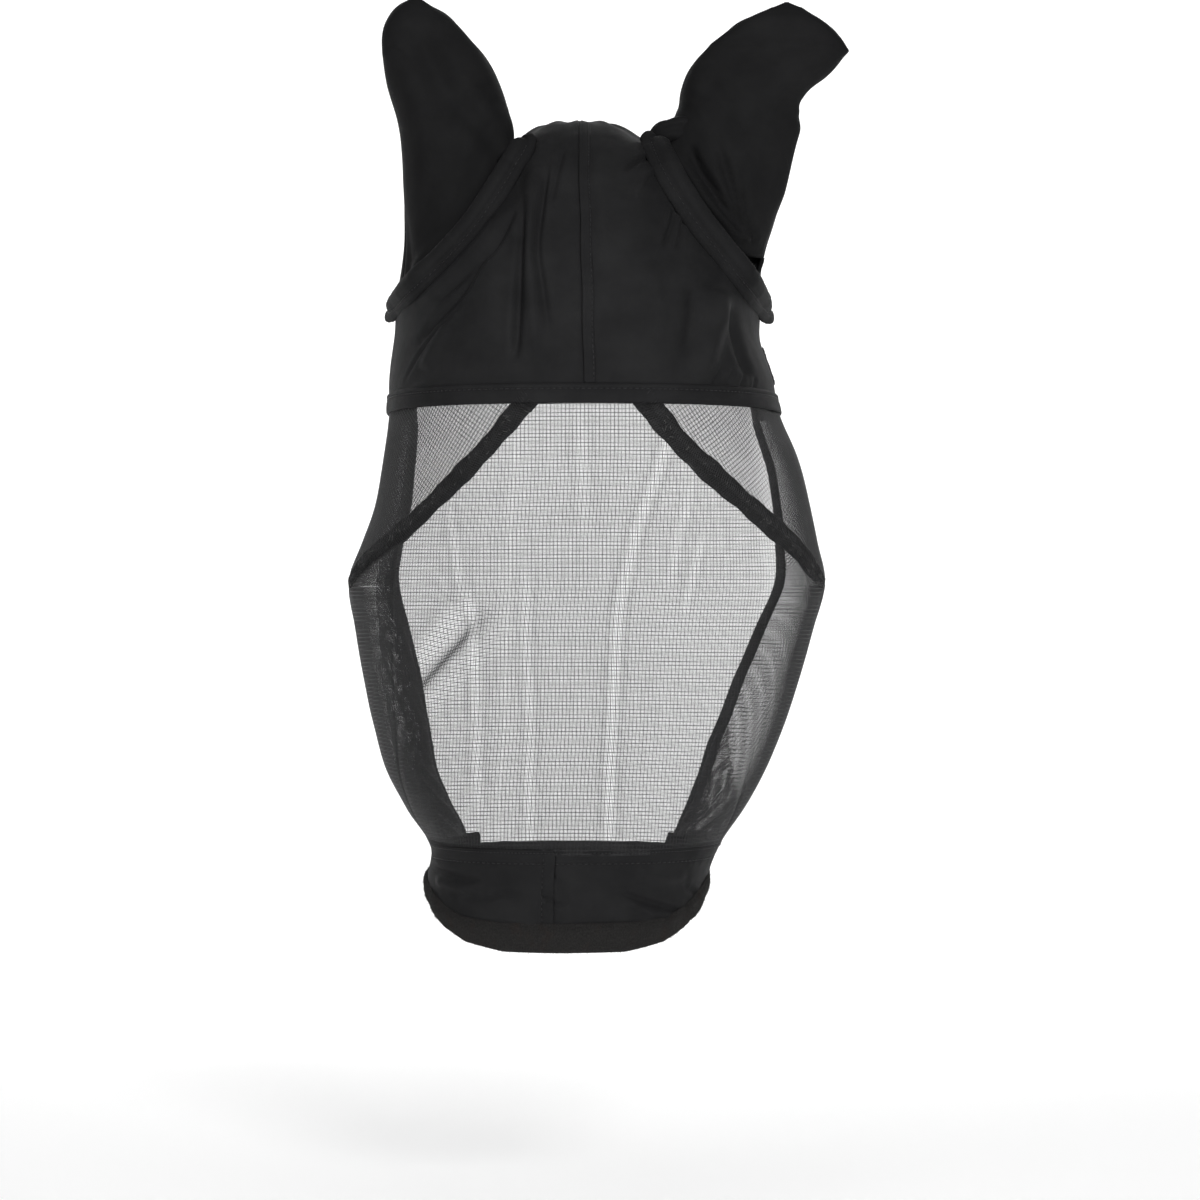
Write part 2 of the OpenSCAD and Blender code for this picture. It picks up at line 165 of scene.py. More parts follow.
def catmull(P, n):
    """n + 1 points along a smooth curve through the rows of P."""
    P = np.asarray(P, float)
    m = len(P) - 1
    u = np.linspace(0, m, n + 1)
    i = np.minimum(m - 1, u.astype(int))
    t = (u - i)[:, None]
    a, b, c, d = P[np.maximum(0, i - 1)], P[i], P[i + 1], P[np.minimum(m, i + 2)]
    return 0.5 * (2 * b + (c - a) * t + (2 * a - 5 * b + 4 * c - d) * t ** 2 + (3 * b - a - 3 * c + d) * t ** 3)


def unit(v):
    return v / np.maximum(np.linalg.norm(v, axis=-1, keepdims=True), 1e-9)


class Noise:
    """Smooth seeded noise on a plane, about -1 to 1."""
    def __init__(self, seed, n=64):
        self.g = np.random.default_rng(seed).uniform(-1, 1, (n, n))
        self.n = n

    def __call__(self, x, y):
        x, y = np.broadcast_arrays(np.asarray(x, float), np.asarray(y, float))
        i, j = np.floor(x).astype(int), np.floor(y).astype(int)
        fx, fy = x - i, y - j
        fx, fy = fx * fx * (3 - 2 * fx), fy * fy * (3 - 2 * fy)
        g, n = self.g, self.n
        a = g[i % n, j % n] * (1 - fx) + g[(i + 1) % n, j % n] * fx
        b = g[i % n, (j + 1) % n] * (1 - fx) + g[(i + 1) % n, (j + 1) % n] * fx
        return a * (1 - fy) + b * fy


# ------------------------------------------------------------------ meshes
def make(name, verts, faces, mat, smooth_on=True, fab=None):
    """A mesh object from points in mm, with an attribute fab: cloth coordinates in mm."""
    me = bpy.data.meshes.new(name)
    verts = np.asarray(verts, float) / 1000
    tri = np.asarray(faces, int)
    p0, p1, p2, p3 = (verts[tri[:, c]] for c in (0, 1, 2, -1))
    if (np.cross(p1, p2) * p0).sum() + (np.cross(p2, p3) * p0).sum() < 0:  # turned inside out
        faces = tri[:, ::-1]
    me.vertices.add(len(verts))
    me.vertices.foreach_set("co", verts.ravel())
    faces = np.asarray(faces, int)
    k = faces.shape[1]
    me.loops.add(faces.size)
    me.loops.foreach_set("vertex_index", faces.ravel())
    me.polygons.add(len(faces))
    me.polygons.foreach_set("loop_start", np.arange(0, faces.size, k))
    me.polygons.foreach_set("loop_total", np.full(len(faces), k))
    me.update(calc_edges=True)
    me.validate()
    me.polygons.foreach_set("use_smooth", np.full(len(me.polygons), smooth_on))
    if fab is not None:
        at = me.attributes.new("fab", "FLOAT_VECTOR", "POINT")
        f = np.zeros((len(verts), 3))
        fab = np.asarray(fab, float)
        f[:, :fab.shape[1]] = fab
        at.data.foreach_set("vector", f.ravel())
    ob = bpy.data.objects.new(name, me)
    scene.collection.objects.link(ob)
    me.materials.append(mat)
    return ob


def grid_normals(P, closed=False):
    if closed:
        du = np.roll(P, -1, 1) - np.roll(P, 1, 1)
    else:
        du = np.gradient(P, axis=1)
    dv = np.gradient(P, axis=0)
    return unit(np.cross(du, dv))


def grid_faces(m, n, base=0, closed=False):
    i = np.arange(m - 1)[:, None]
    j = np.arange(n if closed else n - 1)[None, :]
    k = (j + 1) % n
    return np.stack([i * n + j, i * n + k, (i + 1) * n + k, (i + 1) * n + j], -1).reshape(-1, 4) + base


def thick(name, P, t, mat, fab, closed=False, keep=None, outward=None, round_edge=True):
    """Closed cloth from a grid of outer points P (rows up, columns to the right seen from outside), t thick inwards.
    keep: mask of faces that stay. Each cut edge gets a wall."""
    m, n = P.shape[:2]
    N = grid_normals(P, closed)
    if outward is not None:
        N = N * outward
    Q = P - N * t
    F = grid_faces(m, n, 0, closed)
    if keep is not None:
        F = F[np.asarray(keep).ravel()]
    if outward == -1:
        F = F[:, ::-1]
    nv = m * n
    # boundary edges of the kept faces
    E = np.concatenate([F[:, [0, 1]], F[:, [1, 2]], F[:, [2, 3]], F[:, [3, 0]]])
    key = E[:, 0].astype(np.int64) * nv + E[:, 1]
    rev = E[:, 1].astype(np.int64) * nv + E[:, 0]
    B = E[~np.isin(key, rev)]
    V = np.concatenate([P.reshape(-1, 3), Q.reshape(-1, 3)])
    fabs = np.concatenate([fab.reshape(nv, -1)] * 2)
    mid = []
    walls = []
    if round_edge:  # a half-round edge: one extra ring pushed out a little
        used = np.unique(B)
        inv = np.full(nv, -1)
        inv[used] = np.arange(len(used)) + 2 * nv
        Pf, Qf = P.reshape(-1, 3), Q.reshape(-1, 3)
        dirs = np.zeros((nv, 3))
        Nf = N.reshape(-1, 3)
        for a, b in ((0, 1), (1, 0)):
            e = Pf[B[:, 1]] - Pf[B[:, 0]]
            np.add.at(dirs, B[:, a], np.cross(unit(e), Nf[B[:, a]]))
        d = unit(dirs[used])
        V = np.concatenate([V, (Pf[used] + Qf[used]) / 2 + d * t * 0.35])
        fabs = np.concatenate([fabs, fab.reshape(nv, -1)[used]])
        walls = [np.stack([B[:, 1], B[:, 0], inv[B[:, 0]], inv[B[:, 1]]], -1),
                 np.stack([inv[B[:, 1]], inv[B[:, 0]], B[:, 0] + nv, B[:, 1] + nv], -1)]
    else:
        walls = [np.stack([B[:, 1], B[:, 0], B[:, 0] + nv, B[:, 1] + nv], -1)]
    F2 = F[:, ::-1] + nv
    allF = np.concatenate([F, F2] + walls)
    used = np.unique(allF)
    re = np.full(len(V), -1)
    re[used] = np.arange(len(used))
    return make(name, V[used], re[allF], mat, True, fabs[used])


def tube(points, r, sides=6, closed=False, up=None, flat=1.0):
    """Points and quads of a tube, open at both ends."""
    C = np.asarray(points, float)
    n = len(C)
    T = unit(np.gradient(C, axis=0))
    ref = np.array([0.0, 0.0, 1.0]) if up is None else np.asarray(up, float)
    if ref.ndim == 1:
        ref = np.broadcast_to(ref, C.shape).copy()
    bad = np.abs((T * ref).sum(-1)) > 0.95
    ref[bad] = [0.0, 1.0, 0.0]
    S = unit(np.cross(T, ref))
    U = unit(np.cross(S, T))
    ang = np.arange(sides) * 2 * np.pi / sides
    rr = np.broadcast_to(np.asarray(r, float), (n,))
    V = C[:, None] + rr[:, None, None] * (np.cos(ang)[None, :, None] * S[:, None] + flat * np.sin(ang)[None, :, None] * U[:, None])
    F = grid_faces(n, sides, 0, True)
    return V, F


class Bag:
    """Collects small pieces into one mesh."""
    def __init__(self):
        self.v, self.f, self.a, self.n = [], [], [], 0

    def add(self, V, F, fab=None):
        V = np.asarray(V, float).reshape(-1, 3)
        self.v.append(V)
        self.f.append(np.asarray(F, int) + self.n)
        self.a.append(np.zeros((len(V), 3)) if fab is None else np.broadcast_to(np.asarray(fab, float), (len(V), 3)))
        self.n += len(V)

    def done(self, name, mat):
        return make(name, np.concatenate(self.v), np.concatenate(self.f), mat, True, np.concatenate(self.a))


# ------------------------------------------------------------------ materials
def new_mat(name, base, rough, spec=0.5, sheen=0.0, sheen_rough=0.5, tint=(1, 1, 1), metallic=0.0):
    m = bpy.data.materials.new(name)
    m.use_nodes = True
    nt = m.node_tree
    b = next(n for n in nt.nodes if n.type == "BSDF_PRINCIPLED")
    b.inputs["Base Color"].default_value = (*base, 1)
    b.inputs["Roughness"].default_value = rough
    b.inputs["Specular IOR Level"].default_value = spec
    b.inputs["Sheen Weight"].default_value = sheen
    b.inputs["Sheen Roughness"].default_value = sheen_rough
    b.inputs["Sheen Tint"].default_value = (*tint, 1)
    b.inputs["Metallic"].default_value = metallic
    at = nt.nodes.new("ShaderNodeAttribute")
    at.attribute_name = "fab"
    return m, nt, b, at.outputs["Vector"]


def mapped(nt, vec, scale, rot=(0, 0, 0)):
    n = nt.nodes.new("ShaderNodeMapping")
    n.inputs["Scale"].default_value = scale
    n.inputs["Rotation"].default_value = rot
    nt.links.new(vec, n.inputs["Vector"])
    return n.outputs["Vector"]


def noise(nt, vec, scale, detail=2.0, rough=0.5, dist=0.0):
    n = nt.nodes.new("ShaderNodeTexNoise")
    n.inputs["Scale"].default_value = scale
    n.inputs["Detail"].default_value = detail
    n.inputs["Roughness"].default_value = rough
    n.inputs["Distortion"].default_value = dist
    nt.links.new(vec, n.inputs["Vector"])
    return n.outputs["Fac"]


def wave(nt, vec, pitch, direction="X", dist=0.0, detail=0.0, dscale=1.0, profile="SIN"):
    """Bands with the given pitch in the vector's own units."""
    n = nt.nodes.new("ShaderNodeTexWave")
    n.wave_type = "BANDS"
    n.bands_direction = direction
    n.wave_profile = profile
    n.inputs["Scale"].default_value = 2 * math.pi / (20 * pitch)
    n.inputs["Distortion"].default_value = dist
    n.inputs["Detail"].default_value = detail
    n.inputs["Detail Scale"].default_value = dscale
    nt.links.new(vec, n.inputs["Vector"])
    return n.outputs["Fac"]


def mth(nt, op, a, b=0.5, c=0.5, clamp=False):
    n = nt.nodes.new("ShaderNodeMath")
    n.operation = op
    n.use_clamp = clamp
    for i, x in enumerate((a, b, c)):
        if isinstance(x, (int, float)):
            n.inputs[i].default_value = x
        else:
            nt.links.new(x, n.inputs[i])
    return n.outputs[0]


def ramp(nt, fac, stops, interp="LINEAR"):
    n = nt.nodes.new("ShaderNodeValToRGB")
    n.color_ramp.interpolation = interp
    e = n.color_ramp.elements
    while len(e) < len(stops):
        e.new(0.5)
    for k, (p, c) in zip(e, stops):
        k.position = p
        k.color = (c, c, c, 1) if isinstance(c, (int, float)) else (*c, 1)
    nt.links.new(fac, n.inputs["Fac"])
    return n.outputs["Color"]


def mixc(nt, fac, a, b):
    n = nt.nodes.new("ShaderNodeMix")
    n.data_type = "RGBA"
    for s, x in ((n.inputs[0], fac), (n.inputs[6], a), (n.inputs[7], b)):
        if isinstance(x, (int, float)):
            s.default_value = x
        elif isinstance(x, tuple):
            s.default_value = (*x, 1)
        else:
            nt.links.new(x, s)
    return n.outputs[2]


def bumped(nt, b, height, dist, strength=1.0, under=None):
    n = nt.nodes.new("ShaderNodeBump")
    n.inputs["Strength"].default_value = strength
    n.inputs["Distance"].default_value = dist
    nt.links.new(height, n.inputs["Height"])
    if under is not None:
        nt.links.new(under, n.inputs["Normal"])
    nt.links.new(n.outputs["Normal"], b.inputs["Normal"])
    return n.outputs["Normal"]


def stretch_fabric(name, lift=1.0):
    """Fine two-way stretch knit: near-black, satin, ribs 0.6 mm apart, a little dust. lift scales its whole colour, so
    it makes lighter and darker copies of the same knit: painted light and painted shade.
    """
    m, nt, b, v = new_mat(name, (0.009, 0.009, 0.0095), 0.5, 0.1, 0.003, 0.4, (0.75, 0.77, 0.8))
    b.inputs["IOR"].default_value = 1.24
    rib = wave(nt, v, 0.62, "X", 0.35, 1.0, 3.0)
    course = wave(nt, v, 0.42, "Y", 0.3, 1.0, 3.0)
    knit = mth(nt, "MULTIPLY", rib, course)
    cloud = noise(nt, v, 0.035, 3.0, 0.55)
    mid = noise(nt, v, 0.22, 3.0, 0.6)
    # lift brightens or darkens every colour of this knit: painted light and shade, not a different cloth
    col = ramp(nt, cloud, [(0.3, (0.0115 * lift, 0.0115 * lift, 0.012 * lift)), (0.7, (0.0175 * lift, 0.0175 * lift, 0.018 * lift))])
    col = mixc(nt, mth(nt, "MULTIPLY", knit, 0.35), col, (0.024 * lift, 0.024 * lift, 0.025 * lift))
    dust = ramp(nt, noise(nt, v, 1.9, 1.0, 0.5), [(0.77, 0.0), (0.80, 1.0)])
    col = mixc(nt, mth(nt, "MULTIPLY", dust, 0.35), col, (0.10, 0.10, 0.10))
    nt.links.new(col, b.inputs["Base Color"])
    rr = mth(nt, "MULTIPLY_ADD", mid, 0.16, 0.48)
    nt.links.new(rr, b.inputs["Roughness"])
    h = mth(nt, "MULTIPLY_ADD", mid, 0.8, knit)
    bumped(nt, b, h, 0.00009, 0.7)
    return m


def thread_mat(name, col=(0.012, 0.012, 0.013), rough=0.42):
    m, nt, b, v = new_mat(name, col, rough, 0.3, 0.03, 0.4)
    tw = wave(nt, mapped(nt, v, (1, 1, 1), (0, 0, 0.6)), 0.5, "X", 0.4, 1.0)
    bumped(nt, b, tw, 0.00005, 0.6)
    nt.links.new(mixc(nt, tw, tuple(c * 0.75 for c in col), tuple(c * 1.3 for c in col)), b.inputs["Base Color"])
    return m


def net_mat(name):
    """Coated polyester thread of the net."""
    m, nt, b, v = new_mat(name, (0.02, 0.02, 0.021), 0.5, 0.3, 0.03, 0.4)
    big = noise(nt, v, 0.02, 2.0)
    fine = noise(nt, v, 1.6, 2.0)
    col = ramp(nt, big, [(0.3, (0.016, 0.016, 0.017)), (0.7, (0.028, 0.028, 0.029))])
    col = mixc(nt, mth(nt, "MULTIPLY", fine, 0.4), col, (0.05, 0.05, 0.052))
    nt.links.new(col, b.inputs["Base Color"])
    bumped(nt, b, fine, 0.00006, 0.6)
    return m


def fleece_mat(name):
    """Brushed pile of the soft bindings: matt, with a faint brown cast where the pile thins."""
    m, nt, b, v = new_mat(name, (0.010, 0.009, 0.009), 0.95, 0.06, 0.05, 0.6, (0.55, 0.52, 0.5))
    big = noise(nt, v, 0.09, 3.0, 0.6)
    fuzz = noise(nt, v, 1.3, 4.0, 0.7)
    fine = noise(nt, v, 3.2, 2.0, 0.6)
    col = ramp(nt, fuzz, [(0.3, (0.010, 0.010, 0.010)), (0.7, (0.027, 0.026, 0.0255))])
    col = mixc(nt, ramp(nt, big, [(0.55, 0.0), (0.8, 0.55)]), col, (0.026, 0.016, 0.013))
    nt.links.new(col, b.inputs["Base Color"])
    h = mth(nt, "MULTIPLY_ADD", fuzz, 1.6, fine)
    bumped(nt, b, h, 0.00035, 0.9)
    return m


def tape_mat(name, speck=0.5):
    """Overlocked seam: close zigzag threads across the tape with specks of lint."""
    m, nt, b, v = new_mat(name, (0.012, 0.012, 0.012), 0.72, 0.18, 0.04, 0.5)
    zig = wave(nt, mapped(nt, v, (1, 1, 1), (0, 0, 0.35)), 1.05, "X", 1.5, 2.0, 1.5)
    zag = wave(nt, mapped(nt, v, (1, 1, 1), (0, 0, -0.45)), 1.3, "X", 1.5, 2.0, 1.5)
    h = mth(nt, "MAXIMUM", zig, zag)
    n1 = noise(nt, v, 0.9, 4.0, 0.65)
    col = ramp(nt, mth(nt, "MULTIPLY", h, n1), [(0.1, (0.007, 0.007, 0.007)), (0.6, (0.030, 0.030, 0.031))])
    lint = ramp(nt, noise(nt, v, 1.7, 2.0, 0.6), [(0.69, 0.0), (0.74, 1.0)])
    col = mixc(nt, mth(nt, "MULTIPLY", lint, speck), col, (0.17, 0.17, 0.165))
    nt.links.new(col, b.inputs["Base Color"])
    bumped(nt, b, mth(nt, "MULTIPLY_ADD", n1, 1.2, h), 0.00028, 0.9)
    return m


def elastic_mat(name):
    """Woven elastic: ribs along the tape, fine weft across."""
    m, nt, b, v = new_mat(name, (0.011, 0.011, 0.012), 0.62, 0.22, 0.03, 0.45)
    rib = wave(nt, v, 1.25, "Y", 0.1)
    weft = wave(nt, v, 0.55, "X", 0.3, 1.0)
    h = mth(nt, "MULTIPLY_ADD", weft, 0.35, rib)
    n1 = noise(nt, v, 0.3, 3.0)
    col = ramp(nt, mth(nt, "MULTIPLY_ADD", n1, 0.4, mth(nt, "MULTIPLY", h, 0.5)), [(0.1, (0.007, 0.007, 0.0075)), (0.9, (0.024, 0.024, 0.025))])
    nt.links.new(col, b.inputs["Base Color"])
    bumped(nt, b, h, 0.00022, 0.8)
    return m


def hook_mat(name, hooks=True):
    m, nt, b, v = new_mat(name, (0.013, 0.013, 0.013), 0.4 if hooks else 0.9, 0.35 if hooks else 0.1, 0.0 if hooks else 0.06, 0.5)
    if hooks:
        h = mth(nt, "MULTIPLY", wave(nt, v, 1.3, "X"), wave(nt, v, 1.6, "Y"))
    else:
        h = noise(nt, v, 1.1, 5.0, 0.75, 0.6)
    nt.links.new(ramp(nt, h, [(0.2, (0.006, 0.006, 0.006)), (0.8, (0.026, 0.026, 0.027))]), b.inputs["Base Color"])
    bumped(nt, b, h, 0.0005, 0.9)
    return m


# The hood and noseband get lighter copies of the knit and the ears and rims darker ones: painted light and painted
# shade, the cloth is the same all over
M_FAB_PAINTED_LIGHT = stretch_fabric("stretch_knit", 1.12)
M_EAR_PAINTED_SHADE = stretch_fabric("stretch_knit_ears_painted_shade", 0.8)
M_NOSE_PAINTED_LIGHT = stretch_fabric("stretch_knit_nose_painted_light", 1.08)
M_RIM_PAINTED_SHADE = stretch_fabric("stretch_knit_rims_painted_shade", 0.95)
M_STITCH = thread_mat("stitch_thread", (0.010, 0.010, 0.011), 0.38)
M_NET = net_mat("net_thread")
M_FLEECE = fleece_mat("brushed_binding")
M_TAPE = tape_mat("overlock_tape")
M_OVER = tape_mat("overlock_inner", 0.15)
M_ELASTIC = elastic_mat("woven_elastic")
M_HOOK = hook_mat("hook_tape")
M_LOOP = hook_mat("loop_tape", False)
M_LINT = new_mat("lint_fibre", (0.16, 0.16, 0.155), 0.8)[0]

# ------------------------------------------------------------------ distances along the body surface
_V = np.arange(-5, 524.01, 1.0)
_q = np.linspace(-1, 1, 1601)
_A = np.sign(_q) * 180 * np.abs(_q) ** 1.6
_P = surf(_A[None, :], _V[:, None], 0)
_L = np.concatenate([np.zeros((len(_V), 1)), np.cumsum(np.linalg.norm(np.diff(_P, axis=1), axis=2), 1)], 1)
_L -= _L[:, 800:801]
_S = np.arange(-440, 440.1, 0.5)
_TH = np.stack([np.interp(_S, _L[i], _A) for i in range(len(_V))])
_LEN = _L


def a_of(s, v):
    """Angle at s mm from the middle line along the section at level v."""
    s, v = np.broadcast_arrays(np.asarray(s, float), np.asarray(v, float))
    x = np.clip((s + 440) / 0.5, 0, len(_S) - 1.001)
    y = np.clip(v + 5, 0, len(_V) - 1.001)
    i, j = y.astype(int), x.astype(int)
    fy, fx = y - i, x - j
    return ((_TH[i, j] * (1 - fx) + _TH[i, j + 1] * fx) * (1 - fy) + (_TH[i + 1, j] * (1 - fx) + _TH[i + 1, j + 1] * fx) * fy)


def s_of(a, v):
    """Distance from the middle line to angle a at level v."""
    a, v = np.broadcast_arrays(np.asarray(a, float), np.asarray(v, float))
    q = np.sign(a) * (np.abs(a) / 180) ** (1 / 1.6)
    x = np.clip((q + 1) * 800, 0, 1599.999)
    y = np.clip(v + 5, 0, len(_V) - 1.001)
    i, j = y.astype(int), x.astype(int)
    fy, fx = y - i, x - j
    return ((_LEN[i, j] * (1 - fx) + _LEN[i, j + 1] * fx) * (1 - fy) + (_LEN[i + 1, j] * (1 - fx) + _LEN[i + 1, j + 1] * fx) * fy)


def at(s, v, o=0.0):
    return surf(a_of(s, v), v, o)


def v_of_z(z):
    return np.interp(z, BODY[:, 1], BODY[:, 0])


def sv(x, z):
    """(s, v) of the front-facing point seen at x, z (mm)."""
    v = v_of_z(z)
    p = [curve(BODY, v, c) for c in range(1, 5)]
    r = (x - p[3]) / np.where(x > p[3], p[2] - p[3], p[3] - p[1])
    a = np.degrees(np.arcsin(np.clip(np.abs(r), 0, 1) ** 1.25)) * np.sign(r)
    return s_of(a, v), v


def folds(P, specs):
    """Sum of soft ridges and creases, by distance in front view from lines of (x, z) points.
    Each spec: (points, height mm, width mm, kind): ridge, crease or step."""
    x, z = P[..., 0], P[..., 2]
    out = np.zeros(x.shape)
    for pts, hgt, w, kind in specs:
        C = catmull(pts, 24)
        best = np.full(x.shape, 1e9)
        sgn = np.zeros(x.shape)
        tt = np.zeros(x.shape)
        for i in range(24):
            ax, az = C[i]
            dx, dz = C[i + 1] - C[i]
            L2 = dx * dx + dz * dz + 1e-9
            t = np.clip(((x - ax) * dx + (z - az) * dz) / L2, 0, 1)
            ex, ez = x - ax - t * dx, z - az - t * dz
            d = ex * ex + ez * ez
            hit = d < best
            best = np.where(hit, d, best)
            sgn = np.where(hit, np.sign(dx * ez - dz * ex), sgn)
            tt = np.where(hit, (i + t) / 24, tt)
        d = np.sqrt(best)
        fade = smooth(tt, 0.0, 0.22) * (1 - smooth(tt, 0.72, 1.0)) if kind[-1] != "!" else smooth(tt, -0.001, 0.05) * (1 - smooth(tt, 0.7, 1.0))
        k = kind.rstrip("!")
        if k == "ridge":
            out += hgt * np.exp(-(d / w) ** 2) * fade
        elif k == "crease":  # sharp valley with a shoulder on each side
            out += hgt * (0.45 * np.exp(-(d / (2.2 * w)) ** 2) - np.exp(-(d / w) ** 2) * 1.0) * fade
        elif k == "step":
            out += hgt * np.exp(-(d / w) ** 2) * (0.5 + 0.5 * np.tanh(sgn * d / (0.35 * w))) * fade
    return out


def ribbon(name, A, V, prof, mat, n, twist=None, extra=None, ends=True):
    """Sweeps profile points (side mm, out mm), in order round the outline, along a path of (angle, level) points.
    prof may be a function of the position 0..1 along the path."""
    C = catmull(np.stack([A, V], 1), n)
    S0 = surf(C[:, 0], C[:, 1], 0)
    up = unit(surf(C[:, 0], C[:, 1], 4) - surf(C[:, 0], C[:, 1], -4))
    T = unit(np.gradient(S0, axis=0))
    L = np.concatenate([[0], np.cumsum(np.linalg.norm(np.diff(S0, axis=0), axis=1))])
    u = L / L[-1]
    side = unit(np.cross(T, up))
    if twist is not None:
        ang = np.radians(twist(u))[:, None]
        side, up = side * np.cos(ang) + up * np.sin(ang), up * np.cos(ang) - side * np.sin(ang)
    pr = np.stack([np.asarray(prof(t) if callable(prof) else prof, float) for t in u])
    P = S0[:, None] + side[:, None] * pr[..., :1] + up[:, None] * pr[..., 1:2]
    if extra is not None:
        P = P + extra(u, L, side, up, pr)
    m, k = P.shape[:2]
    per = np.concatenate([[0], np.cumsum(np.linalg.norm(np.diff(pr[m // 2], axis=0), axis=1))])
    fab = np.stack([np.broadcast_to(L[:, None], (m, k)), np.broadcast_to(per[None], (m, k)), np.zeros((m, k))], -1)
    F = [grid_faces(m, k, 0, True)]
    V3 = [P.reshape(-1, 3)]
    fb = [fab.reshape(-1, 3)]
    if ends:  # domed ends made of shrinking rings and a centre point
        base = m * k
        for e, sg in ((0, -1), (m - 1, 1)):
            cen = P[e].mean(0)
            ring0 = np.arange(k) + e * k
            prev = ring0
            hgt = np.ptp(pr[e][:, 1]) * 0.5
            for q in (0.8, 0.45, 0.12):
                R = cen + (P[e] - cen) * q + T[e] * sg * hgt * math.sqrt(max(0, 1 - q * q)) * 0.9
                idx = np.arange(k) + base
                V3.append(R)
                fb.append(fab[e])
                a, b = prev, idx
                if sg > 0:
                    F.append(np.stack([a, np.roll(a, -1), np.roll(b, -1), b], -1))
                else:
                    F.append(np.stack([np.roll(a, -1), a, b, np.roll(b, -1)], -1))
                prev = idx
                base += k
            h = k // 2  # closes the last small ring with quads across it
            quads = [[prev[i], prev[i + 1], prev[k - 2 - i], prev[k - 1 - i]] for i in range(h - 1)]
            q = np.array(quads)
            F.append(q if sg < 0 else q[:, ::-1])
    ob = make(name, np.concatenate(V3), np.concatenate(F), mat, True, np.concatenate(fb))
    return ob


def stitches(bag, pts, nrm, length=2.6, gap=0.9, w=0.42, lift=0.18, start=0.0, slant=0.0, side=None):
    """Sewn stitches along a line of points lying on cloth with normals nrm: short, sunk at each end."""
    pts, nrm = np.asarray(pts, float), np.asarray(nrm, float)
    L = np.concatenate([[0], np.cumsum(np.linalg.norm(np.diff(pts, axis=0), axis=1))])
    t = start
    u5 = np.linspace(0, 1, 6)
    while t + length < L[-1]:
        q = t + u5 * length
        C = np.stack([np.interp(q, L, pts[:, i]) for i in range(3)], 1)
        Nn = unit(np.stack([np.interp(q, L, nrm[:, i]) for i in range(3)], 1))
        h = np.sin(np.pi * u5) ** 0.5 * lift - 0.22 * (1 - np.sin(np.pi * u5))
        C = C + Nn * h[:, None]
        if slant and side is not None:
            C = C + unit(np.stack([np.interp(q, L, side[:, i]) for i in range(3)], 1)) * ((u5 - 0.5) * slant)[:, None]
        V, F = tube(C, w / 2 * np.array([0.35, 0.9, 1, 1, 0.9, 0.35]), 6, up=Nn)
        bag.add(V, F, [t, 0, 0])
        t += length + gap


# ------------------------------------------------------------------ camera, light, backdrop
cam = bpy.data.objects.new("camera", bpy.data.cameras.new("camera"))
scene.collection.objects.link(cam)
cam.location = (0.0139, -2.2, 0.197)
cam.rotation_euler = (math.pi / 2, 0, 0)
cam.data.sensor_width = 36
cam.data.lens = 36 * 2.2 / 0.696
scene.camera = cam

M_STAGE = bpy.data.materials.new("stage_white")
M_STAGE.use_nodes = True
_b = next(n for n in M_STAGE.node_tree.nodes if n.type == "BSDF_PRINCIPLED")
_b.inputs["Base Color"].default_value = (0.93, 0.93, 0.93, 1)
_b.inputs["Roughness"].default_value = 0.9
_b.inputs["Specular IOR Level"].default_value = 0.1
_b.inputs["Emission Color"].default_value = (1, 1, 1, 1)
_b.inputs["Emission Strength"].default_value = 0.3


def stage_sheet():
    """Floor that curves up into a backdrop."""
    prof = [(-3000, -160), (1400, -160)]
    prof += [(1400 + 500 * math.sin(t), -160 + 500 * (1 - math.cos(t))) for t in np.linspace(0.1, math.pi / 2, 12)]
    prof += [(1900, 2600)]
    V, F = [], []
    for y, z in prof:
        V += [(-4000, y, z), (4000, y, z)]
    F = [[2 * i, 2 * i + 1, 2 * i + 3, 2 * i + 2] for i in range(len(prof) - 1)]
    return make("floor_and_backdrop", V, F, M_STAGE, True)


stage = stage_sheet()


def area_light(name, loc, aim, size, power, color=(1, 1, 1)):
    L = bpy.data.lights.new(name, "AREA")
    L.shape = "RECTANGLE"
    L.size, L.size_y = size
    L.energy = power
    L.color = color
    o = bpy.data.objects.new(name, L)
    scene.collection.objects.link(o)
    o.location = loc
    o.rotation_euler = (Vector(aim) - Vector(loc)).to_track_quat("-Z", "Y").to_euler()
    return o


area_light("key", (0.5, -2.15, 0.95), (0, 0, 0.28), (0.5, 0.5), 29)
area_light("fill", (-1.3, -1.6, 0.9), (0, 0, 0.25), (0.8, 1.0), 5.0)
area_light("top", (0.1, -0.6, 1.9), (0, 0, 0.3), (0.9, 0.6), 3)
area_light("back_wash_left", (-1.0, 0.75, 0.5), (-0.9, 1.9, 0.5), (0.9, 1.6), 3.0)
area_light("back_wash_right", (1.0, 0.75, 0.5), (0.9, 1.9, 0.5), (0.9, 1.6), 3.0)
area_light("floor_wash", (0, 1.25, 1.0), (0, 1.25, -0.16), (2.4, 0.5), 7)
world = bpy.data.worlds.new("studio")
scene.world = world
world.use_nodes = True
_bg = next(n for n in world.node_tree.nodes if n.type == "BACKGROUND")
_bg.inputs["Color"].default_value = (1, 1, 1, 1)
_bg.inputs["Strength"].default_value = 0.17
scene.view_settings.view_transform = "Standard"


# ------------------------------------------------------------------ hood
HOLE_L = [(-45, 481), (-47, 464), (-51, 445), (-56, 420), (-62, 396), (-73, 380), (-87, 370), (-97, 370), (-103, 382),
          (-103, 403), (-99, 425), (-92, 445), (-81, 461), (-67, 473), (-55, 480)]
HOLE_R = [(57, 483), (56, 466), (56, 446), (61, 420), (66, 396), (76, 380), (88, 371), (97, 370), (103, 382),
          (104, 403), (101, 425), (94, 445), (84, 461), (73, 473), (65, 481)]


